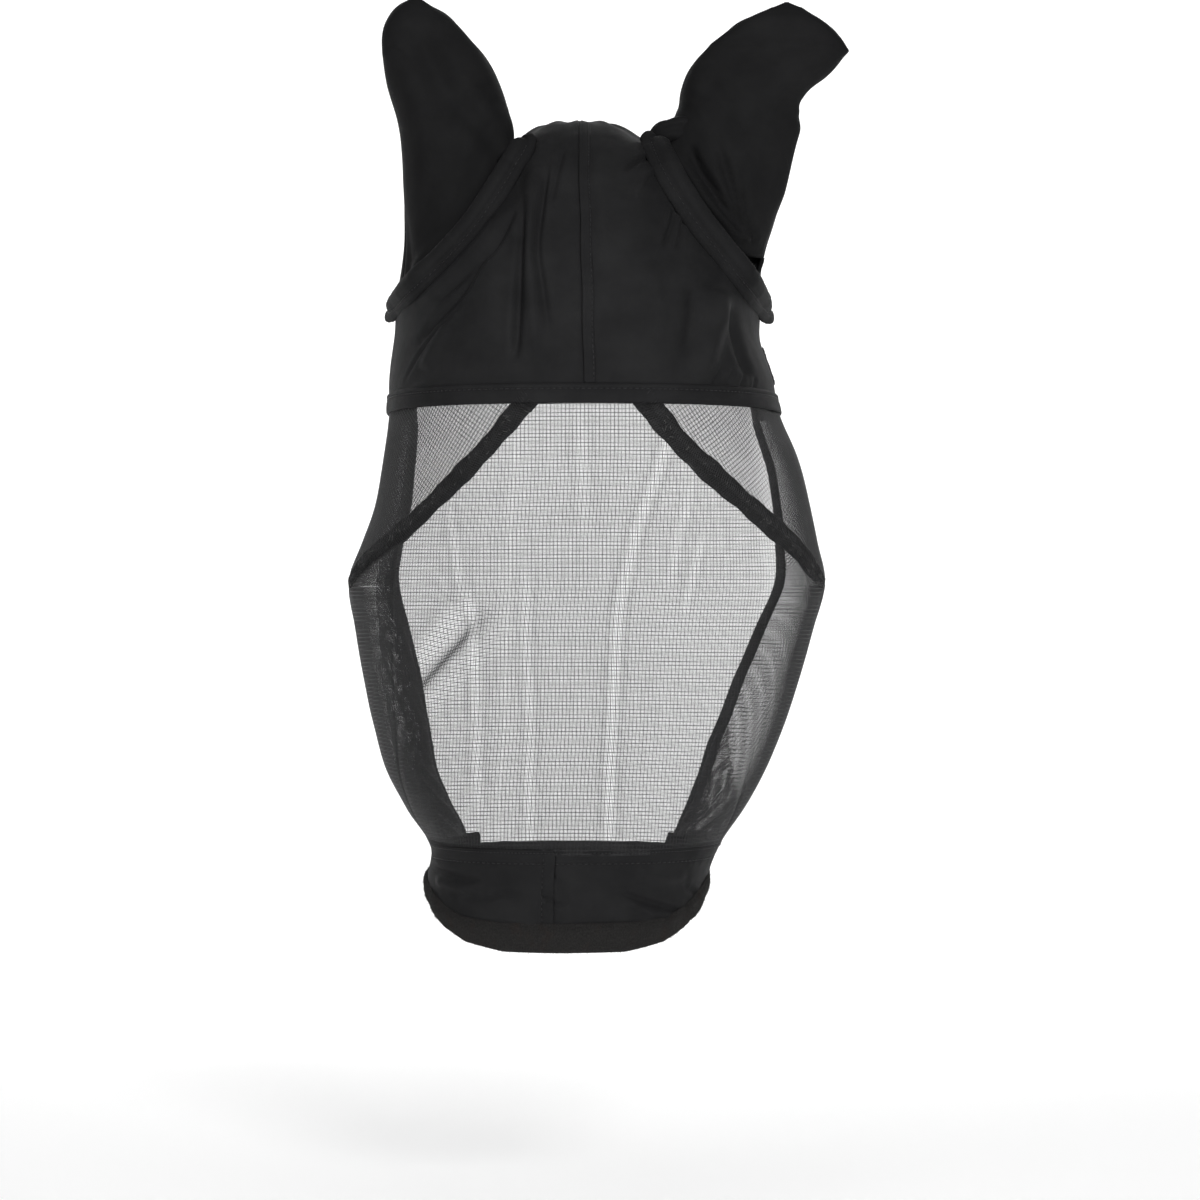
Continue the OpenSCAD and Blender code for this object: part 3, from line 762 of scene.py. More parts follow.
def loop_curve(P, n):
    """n points round a smooth closed curve through P."""
    P = np.asarray(P, float)
    m = len(P)
    u = np.arange(n) * m / n
    i = u.astype(int)
    t = (u - i)[:, None]
    a, b, c, d = P[(i - 1) % m], P[i], P[(i + 1) % m], P[(i + 2) % m]
    return 0.5 * (2 * b + (c - a) * t + (2 * a - 5 * b + 4 * c - d) * t ** 2 + (3 * b - a - 3 * c + d) * t ** 3)


def in_poly(x, y, P):
    inside = np.zeros(np.shape(x), bool)
    n = len(P)
    for i in range(n):
        x0, y0 = P[i]
        x1, y1 = P[(i + 1) % n]
        c = (y0 > y) != (y1 > y)
        xi = x0 + (y - y0) * (x1 - x0) / (y1 - y0 if y1 != y0 else 1e-9)
        inside ^= c & (x < xi)
    return inside


HOOD_FOLDS = [
    ([(-27.9, 425.6), (-29.0, 397.7), (-30.7, 369.9), (-32.4, 342.0), (-34.1, 327.5)], 3.4, 2.8, "crease"),
    ([(-23.5, 447.9), (-24.6, 420.0), (-25.1, 386.6), (-22.9, 353.1), (-20.7, 324.1)], 2.6, 4.5, "ridge"),
    ([(-14.5, 445.1), (-18.4, 420.0), (-20.7, 392.2), (-17.9, 369.9), (-13.4, 339.2)], 2.2, 2.0, "crease"),
    ([(-6.2, 454.6), (-10.6, 436.8), (-14.5, 417.2)], 1.2, 2.2, "crease"),
    ([(-38.0, 419.9), (-53.8, 397.3), (-71.9, 378.1), (-89.9, 364.6)], 2.0, 4.0, "ridge"),
    ([(-31.2, 419.9), (-45.9, 395.0), (-62.8, 377.0), (-78.6, 364.6)], 1.8, 2.6, "crease"),
    ([(-58.8, 366.3), (-75.5, 350.7), (-89.5, 333.9), (-99.0, 318.8)], 0.7, 1.1, "crease"),
    ([(-44.0, 392.0), (-48.0, 365.0), (-50.0, 338.0)], 1.4, 9.0, "ridge"),
    ([(-36.0, 409.0), (-49.0, 388.0), (-64.5, 367.0), (-80.0, 352.0), (-92.0, 338.0)], 1.7, 2.4, "crease"),
    ([(-70.0, 352.0), (-80.0, 338.0), (-86.0, 326.0)], 1.2, 3.4, "ridge"),
    ([(12.0, 448.0), (14.0, 415.0), (18.0, 380.0)], 1.1, 6.0, "ridge"),
    ([(40.0, 386.0), (46.0, 362.0), (47.0, 336.0)], 1.3, 6.5, "ridge"),
    ([(-100.1, 312.1), (-86.7, 317.7), (-69.9, 319.4)], 0.6, 2.0, "ridge"),
    ([(46.1, 450.9), (36.5, 446.9), (26.3, 438.5)], 1.4, 1.8, "crease!"),
    ([(47.8, 445.2), (39.3, 436.8), (33.1, 422.7)], 1.0, 2.4, "ridge!"),
    ([(57.0, 419.4), (53.7, 407.1), (48.6, 394.2)], 1.7, 1.8, "crease"),
    ([(61.5, 414.4), (59.3, 401.5), (56.5, 392.0)], 0.9, 1.5, "crease"),
    ([(82.2, 373.5), (78.9, 353.9), (74.4, 335.9), (69.9, 319.1)], 3.4, 6.0, "ridge"),
    ([(66.4, 374.7), (65.3, 353.5), (62.0, 331.1)], 2.2, 5.0, "crease"),
    ([(85.8, 365.5), (88.6, 348.6), (93.6, 331.8), (99.3, 320.5)], 2.2, 3.2, "crease"),
    ([(77.1, 317.8), (82.2, 327.9)], 0.9, 1.2, "crease!"),
    ([(85.0, 317.4), (88.9, 326.9)], 1.0, 1.2, "crease!"),
    ([(92.9, 316.9), (95.7, 324.8)], 1.0, 1.2, "crease!"),
    ([(100.4, 316.0), (102.1, 323.9)], 0.8, 1.2, "crease!"),
]
nz_a, nz_b, nz_c = Noise(11), Noise(12), Noise(13)


def hood_disp(P):
    """How far the hood cloth stands out from the body surface at points P (mm)."""
    front = smooth(-P[..., 1], -5, 25)
    d = 1.75 * folds(P, HOOD_FOLDS) * front
    d = d + 0.45 * nz_a(P[..., 0] / 26 + P[..., 1] / 37, P[..., 2] / 48) + 0.16 * nz_b(P[..., 0] / 9, P[..., 2] / 13 + P[..., 1] / 11)
    # puckers gathered by the two-needle seams
    seam = np.abs(P[..., 0] - 5.5)
    d = d + 0.22 * np.exp(-(seam / 7) ** 2) * nz_c(P[..., 2] / 3.4, seam * 0) * front
    hem = P[..., 2] - 316
    d = d + 0.25 * np.exp(-(hem / 5) ** 2) * nz_c(P[..., 0] / 4.2, hem * 0 + 7.3)
    # behind the head soft drapes run down from the poll
    d = d + (1 - front) * 1.1 * np.sin(np.arctan2(P[..., 0], P[..., 1] - 30) * 17 + 1.2 * nz_a(P[..., 2] / 60, 0 * P[..., 0])) * smooth(P[..., 2], 330, 420)
    return d


def hood_half(s):
    V = np.concatenate([np.linspace(316.2, 480, 150), np.linspace(480.8, 523.3, 56), [524.0]])
    n = 190
    back = np.where(V >= 491, 180.0, rear(V) - 4.0)
    u = np.linspace(0, 1, n)[None]
    A = 0.03 + (back[:, None] - 0.03) * u
    if s < 0:
        A = -A[:, ::-1]
    VV = np.broadcast_to(V[:, None], A.shape)
    P0 = surf(A, VV, 1.1)
    N = grid_normals(P0)
    d = hood_disp(P0)
    edge_in = (1 - smooth(np.abs(A), 0.0, 3.0)) * 0.5  # the cloth dips into the middle seam
    P = P0 + N * (d * smooth(VV, 316, 318) * (1 - smooth(VV, 512, 524)) - edge_in)[..., None]
    P[-1, :, 0] = 2.0
    S = s_of(A, VV)
    fab = np.stack([S, VV, np.zeros_like(S)], -1)
    hole = loop_curve(HOLE_L if s < 0 else HOLE_R, 120)
    ca = (A[:-1, :-1] + A[1:, 1:]) / 2
    cv = (VV[:-1, :-1] + VV[1:, 1:]) / 2
    keep = ~in_poly(ca, cv, hole)
    return thick("hood_cloth_left" if s < 0 else "hood_cloth_right", P, 0.9, M_FAB_PAINTED_LIGHT, fab, keep=keep)


hood_l = hood_half(-1)
hood_r = hood_half(1)


def hood_point(A, V, lift):
    P0 = surf(A, V, 1.1)
    up = unit(surf(A, V, 4) - surf(A, V, -4))
    return P0 + up * (hood_disp(P0) + lift)[..., None], up


def band_loop(name, A, prof, mat, disp=None, closed_path=False):
    """Closed cross-section of (level, out) points at each angle A, swept round the body."""
    rows = []
    for a in A:
        q = np.asarray(prof(a), float)
        rows.append(np.stack([np.full(len(q), a), q[:, 0], q[:, 1]], -1))
    G = np.stack(rows)
    a, v, o = G[..., 0], G[..., 1], G[..., 2]
    P = surf(a, v, 0)
    up = unit(surf(a, v, 4) - surf(a, v, -4))
    dd = o if disp is None else o + disp(P)
    P = P + up * dd[..., None]
    m, k = P.shape[:2]
    per = np.concatenate([[0], np.cumsum(np.linalg.norm(np.diff(G[0, :, 1:], axis=0), axis=1))])
    S = s_of(a, v)
    fab = np.stack([S, np.broadcast_to(per[None], S.shape), np.zeros_like(S)], -1)
    F = [grid_faces(m, k, 0, True)]
    for e, flip in ((0, True), (m - 1, False)):
        idx = np.arange(k) + e * k
        q = np.array([[idx[i], idx[i + 1], idx[k - 2 - i], idx[k - 1 - i]] for i in range(k // 2 - 1)])
        F.append(q if flip else q[:, ::-1])
    return make(name, P.reshape(-1, 3), np.concatenate(F), mat, True, fab.reshape(-1, 3))


def rounded(v0, v1, o0, o1, n=8, r=None):
    """Closed outline with an even count of points: box from (v0, o0) to (v1, o1) with rounded sides."""
    h = (o1 - o0) / 2
    r = min(h, (v1 - v0) / 2) if r is None else r
    out = []
    for t in np.linspace(-90, 90, 5):
        out.append((v1 - r + r * math.cos(math.radians(t)), (o0 + o1) / 2 + h * math.sin(math.radians(t))))
    out += [(v1 - r + (v0 + r - v1 + r) * i / n, o1) for i in range(1, n)]
    for t in np.linspace(90, 270, 5):
        out.append((v0 + r + r * math.cos(math.radians(t)), (o0 + o1) / 2 + h * math.sin(math.radians(t))))
    out += [(v0 + r + (v1 - r - v0 - r) * i / n, o0) for i in range(1, n)]
    return out


# brow hem: the folded lower edge of the hood with its topstitch
def hem_prof(a):
    q = rounded(305.6, 317.2, 0.0, 2.5, 10, 1.2)
    return [(v, o - (0.55 * bump(v, 313.9, 0.7) + 0.5 * bump(v, 317.4, 1.0) if o > 1.5 else 0) + (0.35 * bump(v, 309.5, 3) if o > 1.5 else 0)) for v, o in q]


def hem_wave(P):
    return 0.22 * nz_c(P[..., 0] / 4.2, 7.3 + 0 * P[..., 2]) + 0.3 * nz_a(P[..., 0] / 26 + P[..., 1] / 37, P[..., 2] / 48)


hemA = np.linspace(-116.5, 116.5, 420)
hem = band_loop("brow_hem_fold", hemA, hem_prof, M_FAB_PAINTED_LIGHT, hem_wave)

STITCH = Bag()


def stitch_line(A, V, height, **kw):
    P, up = hood_point(np.asarray(A, float), np.asarray(V, float), height)
    stitches(STITCH, P, up, **kw)


def plain_line(A, V, o, wavef=None, bag=None, **kw):
    A, V = np.asarray(A, float), np.asarray(V, float)
    P = surf(A, V, 0)
    up = unit(surf(A, V, 4) - surf(A, V, -4))
    o = np.asarray(o, float) + (wavef(P) if wavef else 0)
    P = P + up * np.broadcast_to(o, A.shape)[..., None]
    stitches(bag or STITCH, P, up, **kw)


a_ = np.linspace(-115, 115, 500)
plain_line(a_, np.full_like(a_, 313.9), 2.15, hem_wave, length=2.5, gap=0.8, w=0.5, lift=0.2)

# poll seam: the seam allowance, turned to the right and topstitched
sv_ = np.linspace(317.6, 512, 160)
seamA = a_of(np.full_like(sv_, 3.3), sv_)


def seam_prof(t):
    w = 3.3
    q = [(w, 0.1), (w * 0.95, 0.55), (w * 0.7, 0.5), (w * 0.55, 0.35), (w * 0.3, 0.62), (0, 0.7), (-w * 0.4, 0.72), (-w * 0.8, 0.6), (-w, 0.25), (-w, -0.25),
         (-w * 0.5, -0.3), (0, -0.3), (w * 0.5, -0.3), (w, -0.25)]
    return [(-x, y) for x, y in q]


def on_hood(u, L, side, up, pr):
    C = catmull(np.stack([seamA[::8], sv_[::8]], 1), 150)
    P0 = surf(C[:, 0], C[:, 1], 1.1)
    return (up * (1.1 + hood_disp(P0) - 0.05)[:, None])[:, None] * np.ones((1, pr.shape[1], 1))


poll = ribbon("poll_seam_fold", seamA[::8], sv_[::8], seam_prof, M_FAB_PAINTED_LIGHT, 150, extra=on_hood)
sa = np.linspace(318, 508, 400)
stitch_line(a_of(np.full_like(sa, 5.4), sa), sa, 0.5, length=2.3, gap=0.8, w=0.42, lift=0.2)


# ------------------------------------------------------------------ ears
EARL = np.array([[0, -41, 441, -99, 375, 30, 15], [1, -37, 472, -99, 407, 28, 15], [2, -41, 487, -101, 449, 26, 14],
                 [3, -47, 501, -104, 477, 23, 12], [4, -54, 514, -110, 498, 20, 10], [5, -63, 525, -113, 517, 16, 8],
                 [6, -73, 535, -112, 529, 12, 6], [7, -83, 542, -106, 539, 7, 5], [8, -91, 547, -96, 547, 2.2, 5]], float)
EARR = np.array([[0, 51, 441, 109, 375, 30, 15], [1, 54, 471, 112, 402, 28, 15], [2, 60, 484, 120, 435, 25, 13],
                 [3, 61.5, 493, 126, 461, 22, 11], [3.7, 63.3, 499, 130.5, 480, 19, 9], [4, 64.5, 502, 130.5, 485, 18, 8],
                 [4.3, 66, 505, 133, 489.5, 17, 7], [5, 70, 511, 144.5, 501, 15, 4], [5.75, 76, 517.8, 154.6, 511.2, 12, 1], [6, 78, 520, 158.6, 515, 10.5, 0],
                 [6.2, 80.4, 521.6, 157.2, 517.6, 10.2, -1], [6.5, 84, 524, 155, 520.6, 10, -2], [7, 90, 528, 151, 525, 9, -3], [8, 101, 534.5, 142, 533, 7, -4],
                 [9, 113, 540, 131, 540, 2.2, -4]], float)
ROLL_L = [(-33.7, 452.2), (-54.9, 422.3), (-70.4, 406.4), (-83.6, 396.8), (-90.5, 388.2), (-95.5, 379.0)]
ROLL_R = [(48.3, 460.8), (60.3, 442.4), (72.4, 422.9), (87.9, 404.6), (98.0, 398.2), (110.5, 397.2)]
EAR_FOLDS_L = [
    ([(-93.5, 535.3), (-84.3, 509.9), (-71.5, 486.8), (-48.5, 462.6), (-40.9, 445.3)], 3.0, 8, "crease"),
    ([(-102.7, 513.4), (-90.0, 479.9), (-85.4, 445.3), (-91.2, 410.6)], 2.5, 9, "ridge"),
    ([(-110.2, 520.3), (-103.9, 514.5), (-94.6, 509.9)], 1.2, 2.2, "crease"),
    ([(-65.4, 408.5), (-78.1, 400.5), (-89.6, 391.3), (-93.0, 378.6)], 2.0, 4, "ridge"),
]
EAR_FOLDS_R = [
    ([(93.8, 408.5), (81.1, 429.2), (69.6, 448.7), (65.6, 461.4)], 5.0, 3.0, "crease!"),
    ([(96.7, 407.4), (92.1, 424.0), (86.9, 443.0), (80.6, 463.7)], 3.4, 2.6, "crease!"),
    ([(102.4, 403.9), (99.5, 418.3), (96.7, 434.9)], 2.4, 2.2, "crease!"),
    ([(50.6, 463.1), (62.1, 443.6), (74.7, 424.6), (90.7, 410.3), (109.1, 401.7)], 3.4, 4.0, "ridge"),
    ([(129.4, 478.8), (124.8, 451.0), (116.7, 419.3)], 2.0, 7.0, "ridge"),
    ([(71.5, 501.2), (86.5, 474.7), (98.0, 456.2)], 2.0, 8, "crease"),
    ([(129.1, 485.0), (113.0, 478.1), (95.7, 468.9)], 1.6, 6, "crease"),
]


def ear_cover(side):
    L = side < 0
    E = EARL if L else EARR
    hole = loop_curve(HOLE_L if L else HOLE_R, 400)
    hp = surf(hole[:, 0], hole[:, 1], 0)
    hn = unit(surf(hole[:, 0], hole[:, 1], 4) - surf(hole[:, 0], hole[:, 1], -4))
    inner, outer = E[0, 1:3], E[0, 3:5]
    c = np.array([(inner[0] + outer[0]) / 2, 12.0, (inner[1] + outer[1]) / 2])
    p = unit(np.array([inner[0] - outer[0], 0.0, inner[1] - outer[1]]))
    q = np.array([0.0, -1.0, 0.0])
    rel = hp - c
    ang = np.arctan2(rel @ q, rel @ p)
    order = np.argsort(ang)
    nu = 144
    U = np.arange(nu) * 2 * np.pi / nu
    th = (U + np.pi) % (2 * np.pi) - np.pi

    def ring(off, out):
        H = hp + hn * out
        cen = H.mean(0)
        H = H + unit(H - cen - hn * ((H - cen) * hn).sum(-1, keepdims=True)) * off
        a = np.concatenate([ang[order] - 2 * np.pi, ang[order], ang[order] + 2 * np.pi])
        Hs = np.concatenate([H[order]] * 3)
        return np.stack([np.interp(th, a, Hs[:, i]) for i in range(3)], -1)

    def section(k):
        v = [float(curve(E, k, cc)) for cc in range(1, 7)]
        a = np.array([v[0] - v[2], 0, v[1] - v[3]]) / 2
        m = np.array([(v[0] + v[2]) / 2, v[5], (v[1] + v[3]) / 2])
        e = 0.86  # a little squarer than an ellipse
        cu, su = np.cos(U), np.sin(U)
        return m + a * (np.sign(cu) * np.abs(cu) ** e)[:, None] - np.array([0, v[4], 0]) * (np.sign(su) * np.abs(su) ** e)[:, None]

    last = E[-1, 0]
    roll = catmull(ROLL_L if L else ROLL_R, 200)
    rl = np.concatenate([[0], np.cumsum(np.linalg.norm(np.diff(roll, axis=0), axis=1))])
    rl = rl / rl[-1]
    f = (1 - np.cos(np.clip(U, 0, np.pi))) / 2
    f = np.where(U <= np.pi, f, (1 + np.cos(U - np.pi)) / 2)
    rx, rz = np.interp(f, rl, roll[:, 0]), np.interp(f, rl, roll[:, 1])
    dep = float(E[0, 5]) - 3.0
    Rf = np.stack([rx, 12.0 - dep * np.sign(np.sin(U)) * np.abs(np.sin(U)) ** 0.86, rz], -1)
    fw = smooth(np.sin(U), -0.05, 0.30)[:, None]
    Hb = ring(-7.0, 5.0)
    R = Rf * fw + Hb * (1 - fw)
    deep = ring(-9.0, -13.0)
    rings = [ring(4.0, 1.5), ring(1.0, 1.9), ring(-2.5, 0.5) * (1 - fw) + ring(-3.0, -3.0) * fw,
             ring(-4.5, 1.5) * (1 - fw) + deep * fw,
             ring(-5.5, 2.8) * (1 - fw) + (R + np.array([0, 11.0, 1.5])) * fw,
             ring(-6.3, 4.0) * (1 - fw) + (R + np.array([0, 6.0, -1.2])) * fw,
             R + np.array([0, 3.0, -1.9]) * fw, R + np.array([0, 0.9, -1.3]) * fw, R]
    kk = np.linspace(0.0, last, 124)
    k0 = 0.55 if L else 0.75
    for k in kk[1:]:
        g = k / last
        q = k0 + (last - k0) * g
        w = float(smooth(k, -0.25, 1.25 if L else 1.1))
        rings.append(section(q) * w + (R + (section(q).mean(0) - section(k0).mean(0))) * (1 - w))
    P = np.stack(rings)
    # close the tip: shrink the last ring into a line
    for f in (0.6, 0.25, 0.02):
        P = np.concatenate([P, (P[-1:].mean(1, keepdims=True) + (section(last)[None] - section(last).mean(0)) * np.array([f ** 0.5, f, 1]) + np.array([0, 0, (1 - f) * 1.4]))])
    N = grid_normals(P, True)
    if (N[60, nu // 4] @ np.array([0, -1, 0])) < 0:
        N = -N
    N[:9] = np.where(fw[None] > 0.02, N[9][None], N[:9])
    front = smooth(N[..., 1] * -1, -0.1, 0.35)
    rows = np.arange(len(P))[:, None]
    fade = smooth(rows, 6, 11) * (1 - smooth(rows, len(P) - 12, len(P) - 3))
    d = 1.5 * folds(P, EAR_FOLDS_L if L else EAR_FOLDS_R) * front
    d = d + 0.5 * nz_a(P[..., 0] / 20 + 3.1, P[..., 2] / 30 + P[..., 1] / 25) + 0.15 * nz_b(P[..., 0] / 7, P[..., 2] / 9)
    d = d + (1 - front) * 0.9 * np.sin(P[..., 0] / 4.5 + 0.8 * nz_a(P[..., 2] / 22, 0.4 + 0 * P[..., 0]))
    P = P + N * (d * fade)[..., None]
    # seams along both sides
    for u0 in (0, nu // 2):
        dist = np.minimum(np.abs(np.arange(nu) - u0), nu - np.abs(np.arange(nu) - u0))
        P = P - N * (0.7 * np.exp(-(dist[None] / 0.9) ** 2) * fade)[..., None]
    arc = np.concatenate([[0], np.cumsum(np.linalg.norm(np.diff(P[:, nu // 4], axis=0), axis=1))])
    girth = np.linalg.norm(np.roll(P, -1, 1) - P, axis=2)
    cs = np.concatenate([np.zeros((len(P), 1)), np.cumsum(girth, 1)[:, :-1]], 1)
    cs = cs - cs[:, nu // 4: nu // 4 + 1]
    fab = np.stack([cs, np.broadcast_to(arc[:, None], cs.shape), np.zeros_like(cs)], -1)
    out = []
    cols = np.arange(nu)
    ccw = (np.cross(P[60, 1] - P[60, 0], P[61, 0] - P[60, 0]) @ N[60, 0]) > 0
    for part, sel in (("front", cols < nu // 2), ("back", cols >= nu // 2)):
        name = "ear_cloth_%s_%s" % (part, "left" if L else "right")
        keep = np.broadcast_to(sel[None], (len(P) - 1, nu))
        Pq = P if ccw else P[:, ::-1]
        if ccw:
            out.append(thick(name, P, 0.9, M_EAR_PAINTED_SHADE, fab, closed=True, keep=keep))
        else:
            out.append(thick(name, P[:, ::-1], 0.9, M_EAR_PAINTED_SHADE, fab[:, ::-1], closed=True, keep=np.roll(keep[:, ::-1], -1, 1)))
    return out


ear_fl, ear_bl = ear_cover(-1)
ear_fr, ear_br = ear_cover(1)


# ear rims: the thick rolled edge round each ear opening, broad in front and narrower behind
RIM_FRONT_L = [(-29.5, 457.5), (-36.0, 444.0), (-43.5, 431.0), (-58.0, 409.5), (-76.0, 389.5), (-93.0, 375.5), (-107.5, 366.5)]
RIM_FRONT_R = [(45.5, 460.5), (49.5, 447.5), (57.5, 431.5), (71.0, 411.0), (86.0, 392.0), (99.5, 376.5), (111.0, 367.0)]


def ear_rim(side):
    L = side < 0
    xz = np.array(RIM_FRONT_L if L else RIM_FRONT_R, float)
    wf = 15.2 if L else 17.2
    Tz = unit(np.gradient(xz, axis=0))
    e = np.stack([-Tz[:, 1], Tz[:, 0]], 1)
    e = e * np.sign((e * np.array([side, 0.6])).sum(1))[:, None]     # towards the ear
    low = xz - e * (wf / 2 - 1.0)
    s_, v_ = sv(low[:, 0], low[:, 1])
    plow = at(s_, v_, 1.1)
    upl = unit(at(s_, v_, 4) - at(s_, v_, -4))
    s_, v_ = sv(xz[:, 0], xz[:, 1])
    pc = at(s_, v_, 1.1)
    y = plow[:, 1] * 0.94 + pc[:, 1] * 0.06 - 1.9
    F3 = np.stack([xz[:, 0], y, xz[:, 1]], 1)
    hb = np.array(HOLE_L if L else HOLE_R, float)
    hb = hb[8:] if L else hb[8:]
    B3 = surf(hb[:, 0], hb[:, 1], 3.0)
    bn = unit(surf(hb[:, 0], hb[:, 1], 4) - surf(hb[:, 0], hb[:, 1], -4))
    turn = (F3[-1] + B3[0]) / 2 + np.array([side * 5.0, -2.0, -0.4])
    C = np.concatenate([F3, [turn], B3])
    fn = unit(upl * 0.16 + np.array([0, -1.0, 0]))
    FN = np.concatenate([fn, [unit(np.array([side * 1.0, -0.75, -0.25]))], bn])
    fr = np.concatenate([np.ones(len(F3)), [0.75], np.linspace(0.35, 0.0, 3), np.zeros(len(B3) - 3)])
    n = 300
    Cc = loop_curve(C, n)
    face = unit(loop_curve(FN, n))
    front = np.clip(loop_curve(np.stack([fr, fr], 1), n)[:, 0], 0, 1)
    T = unit(np.roll(Cc, -1, 0) - np.roll(Cc, 1, 0))
    face = unit(face - T * (face * T).sum(-1, keepdims=True))
    sd = unit(np.cross(T, face))
    if ((Cc - Cc.mean(0)) * sd).sum(-1).mean() < 0:
        sd = -sd       # points away from the opening
    w = (3.6 + (wf / 2 - 3.6) * front) + 0.3 * nz_a(np.arange(n) / 15.0, 0.5)
    h = 1.5 + (2.6 - 1.5) * front
    ang = np.linspace(0, 2 * np.pi, 37)[:-1]
    ca, sa_ = np.cos(ang), np.sin(ang)
    sx = np.sign(ca) * np.abs(ca) ** 0.75
    sy = np.sign(sa_) * np.abs(sa_) ** 0.85
    # the half next to the hood carries a stitch groove; the half next to the ear is rolled higher
    prof_y = sy + (sa_ > 0) * (-0.55 * np.exp(-((sx - 0.30) / 0.10) ** 2) + 0.40 * np.exp(-((sx + 0.40) / 0.38) ** 2))
    P = Cc[:, None] + sd[:, None] * (w[:, None] * sx[None])[..., None] + face[:, None] * (h[:, None] * prof_y[None])[..., None]
    Ls = np.concatenate([[0], np.cumsum(np.linalg.norm(np.diff(Cc, axis=0), axis=1))])
    wob = 0.22 * nz_b(Ls[:, None] / 3.1, ang[None] * 0.8) + 0.45 * nz_a(Ls[:, None] / 11.0, ang[None] * 0.5)
    P = P + (sd[:, None] * ca[None, :, None] + face[:, None] * sa_[None, :, None]) * wob[..., None] * (0.4 + 0.6 * front)[:, None, None]
    m, k = P.shape[:2]
    per = np.arange(k) * 1.2
    fab = np.stack([np.broadcast_to(Ls[:, None], (m, k)), np.broadcast_to(per[None], (m, k)), np.zeros((m, k))], -1)
    i = np.arange(m)[:, None]
    j = np.arange(k)[None]
    Fq = np.stack([i * k + j, i * k + (j + 1) % k, ((i + 1) % m) * k + (j + 1) % k, ((i + 1) % m) * k + j], -1).reshape(-1, 4)
    ob = make("ear_rim_band_left" if L else "ear_rim_band_right", P.reshape(-1, 3), Fq, M_RIM_PAINTED_SHADE, True, fab.reshape(-1, 3))
    gi = int(np.argmin(np.abs(sx - 0.30) + 9 * (sa_ <= 0)))
    cl = slice(4, int(n * 7.2 / len(C)))
    stitches(STITCH, P[cl, gi], face[cl], length=2.4, gap=1.0, w=0.42, lift=0.22)
    return ob


rim_l = ear_rim(-1)
rim_r = ear_rim(1)


# tuck of spare cloth standing up beside the inner end of the right-hand rim
def ear_tuck():
    path = catmull([(44.6, 0, 460.5), (46.2, -1, 464.5), (50.0, -2, 467.4), (55.5, -2, 468.8), (62.0, -1, 469.6), (70.0, 1, 468.5)], 60)
    t = np.linspace(0, 1, 61)
    r = 1.6 + 5.2 * smooth(t, -0.05, 0.5) + 0.5 * np.sin(t * 9.0)
    T = unit(np.gradient(path, axis=0))
    out = np.stack([-T[:, 2], 0 * t, T[:, 0]], -1)
    rows = []
    k = 40
    for j in range(k):      # a doubled fold, open below, with a groove along each side
        u = 2 * math.pi * j / k
        c, si = math.cos(u), math.sin(u)
        deep = (7.5 - 2.2 * math.exp(-((si - 0.1) / 0.35) ** 2)) * math.copysign(abs(c) ** 0.8, c)
        rows.append(path + out * (r * si * 1.1)[:, None] + np.array([0, 1.0, 0]) * (deep * (0.35 + 0.65 * np.sin(math.pi * t) ** 0.5))[:, None])
    P = np.stack(rows, 1)
    P = P + 0.35 * np.stack([nz_b(P[..., 0] / 3, P[..., 1] / 4), 0 * P[..., 0], nz_a(P[..., 0] / 4, P[..., 1] / 3)], -1)
    F = [grid_faces(61, k, 0, True)]
    V = [P.reshape(-1, 3), P[0].mean(0, keepdims=True), P[-1].mean(0, keepdims=True)]
    n = 61 * k
    i = np.arange(k)
    F.append(np.stack([(i + 1) % k, i, np.full(k, n), np.full(k, n)], -1)[:, :3])
    F.append(np.stack([60 * k + i, 60 * k + (i + 1) % k, np.full(k, n + 1)], -1))
    fab = np.concatenate([np.stack([np.broadcast_to(np.arange(k) * 0.8, (61, k)), np.broadcast_to((t * 30)[:, None], (61, k)), np.zeros((61, k))], -1).reshape(-1, 3), [[0, 0, 0], [0, 30, 0]]])
    quads = F[0]
    tris = np.concatenate([quads[:, [0, 1, 2]], quads[:, [0, 2, 3]], F[1], F[2]])
    return make("ear_tuck_right", np.concatenate(V), tris, M_EAR_PAINTED_SHADE, True, fab)


tuck = ear_tuck()


def ear_base_right():
    """Cloth that carries the right ear cover down to the outer edge of its opening."""
    A = np.linspace(73, 106, 50)[None] + 0 * np.linspace(0, 1, 40)[:, None]
    V = np.linspace(372, 407, 40)[:, None] + 0 * A
    P = surf(A, V, -0.7 + 0.5 * np.sin((V - 372) / 4.1 + A / 9.0))
    fab = np.stack([s_of(A, V), V, np.zeros_like(A)], -1)
    return thick("ear_base_right", P, 0.8, M_EAR_PAINTED_SHADE, fab)


ear_base = ear_base_right()


# ------------------------------------------------------------------ net
PX_, PZ_ = 0.687, 0.793      # spacing of the threads, mm
TH_W, TH_T = (0.42, 0.222, 0.222), 0.20     # widths of the heavy thread and the two light ones, which take turns, and their thickness, mm


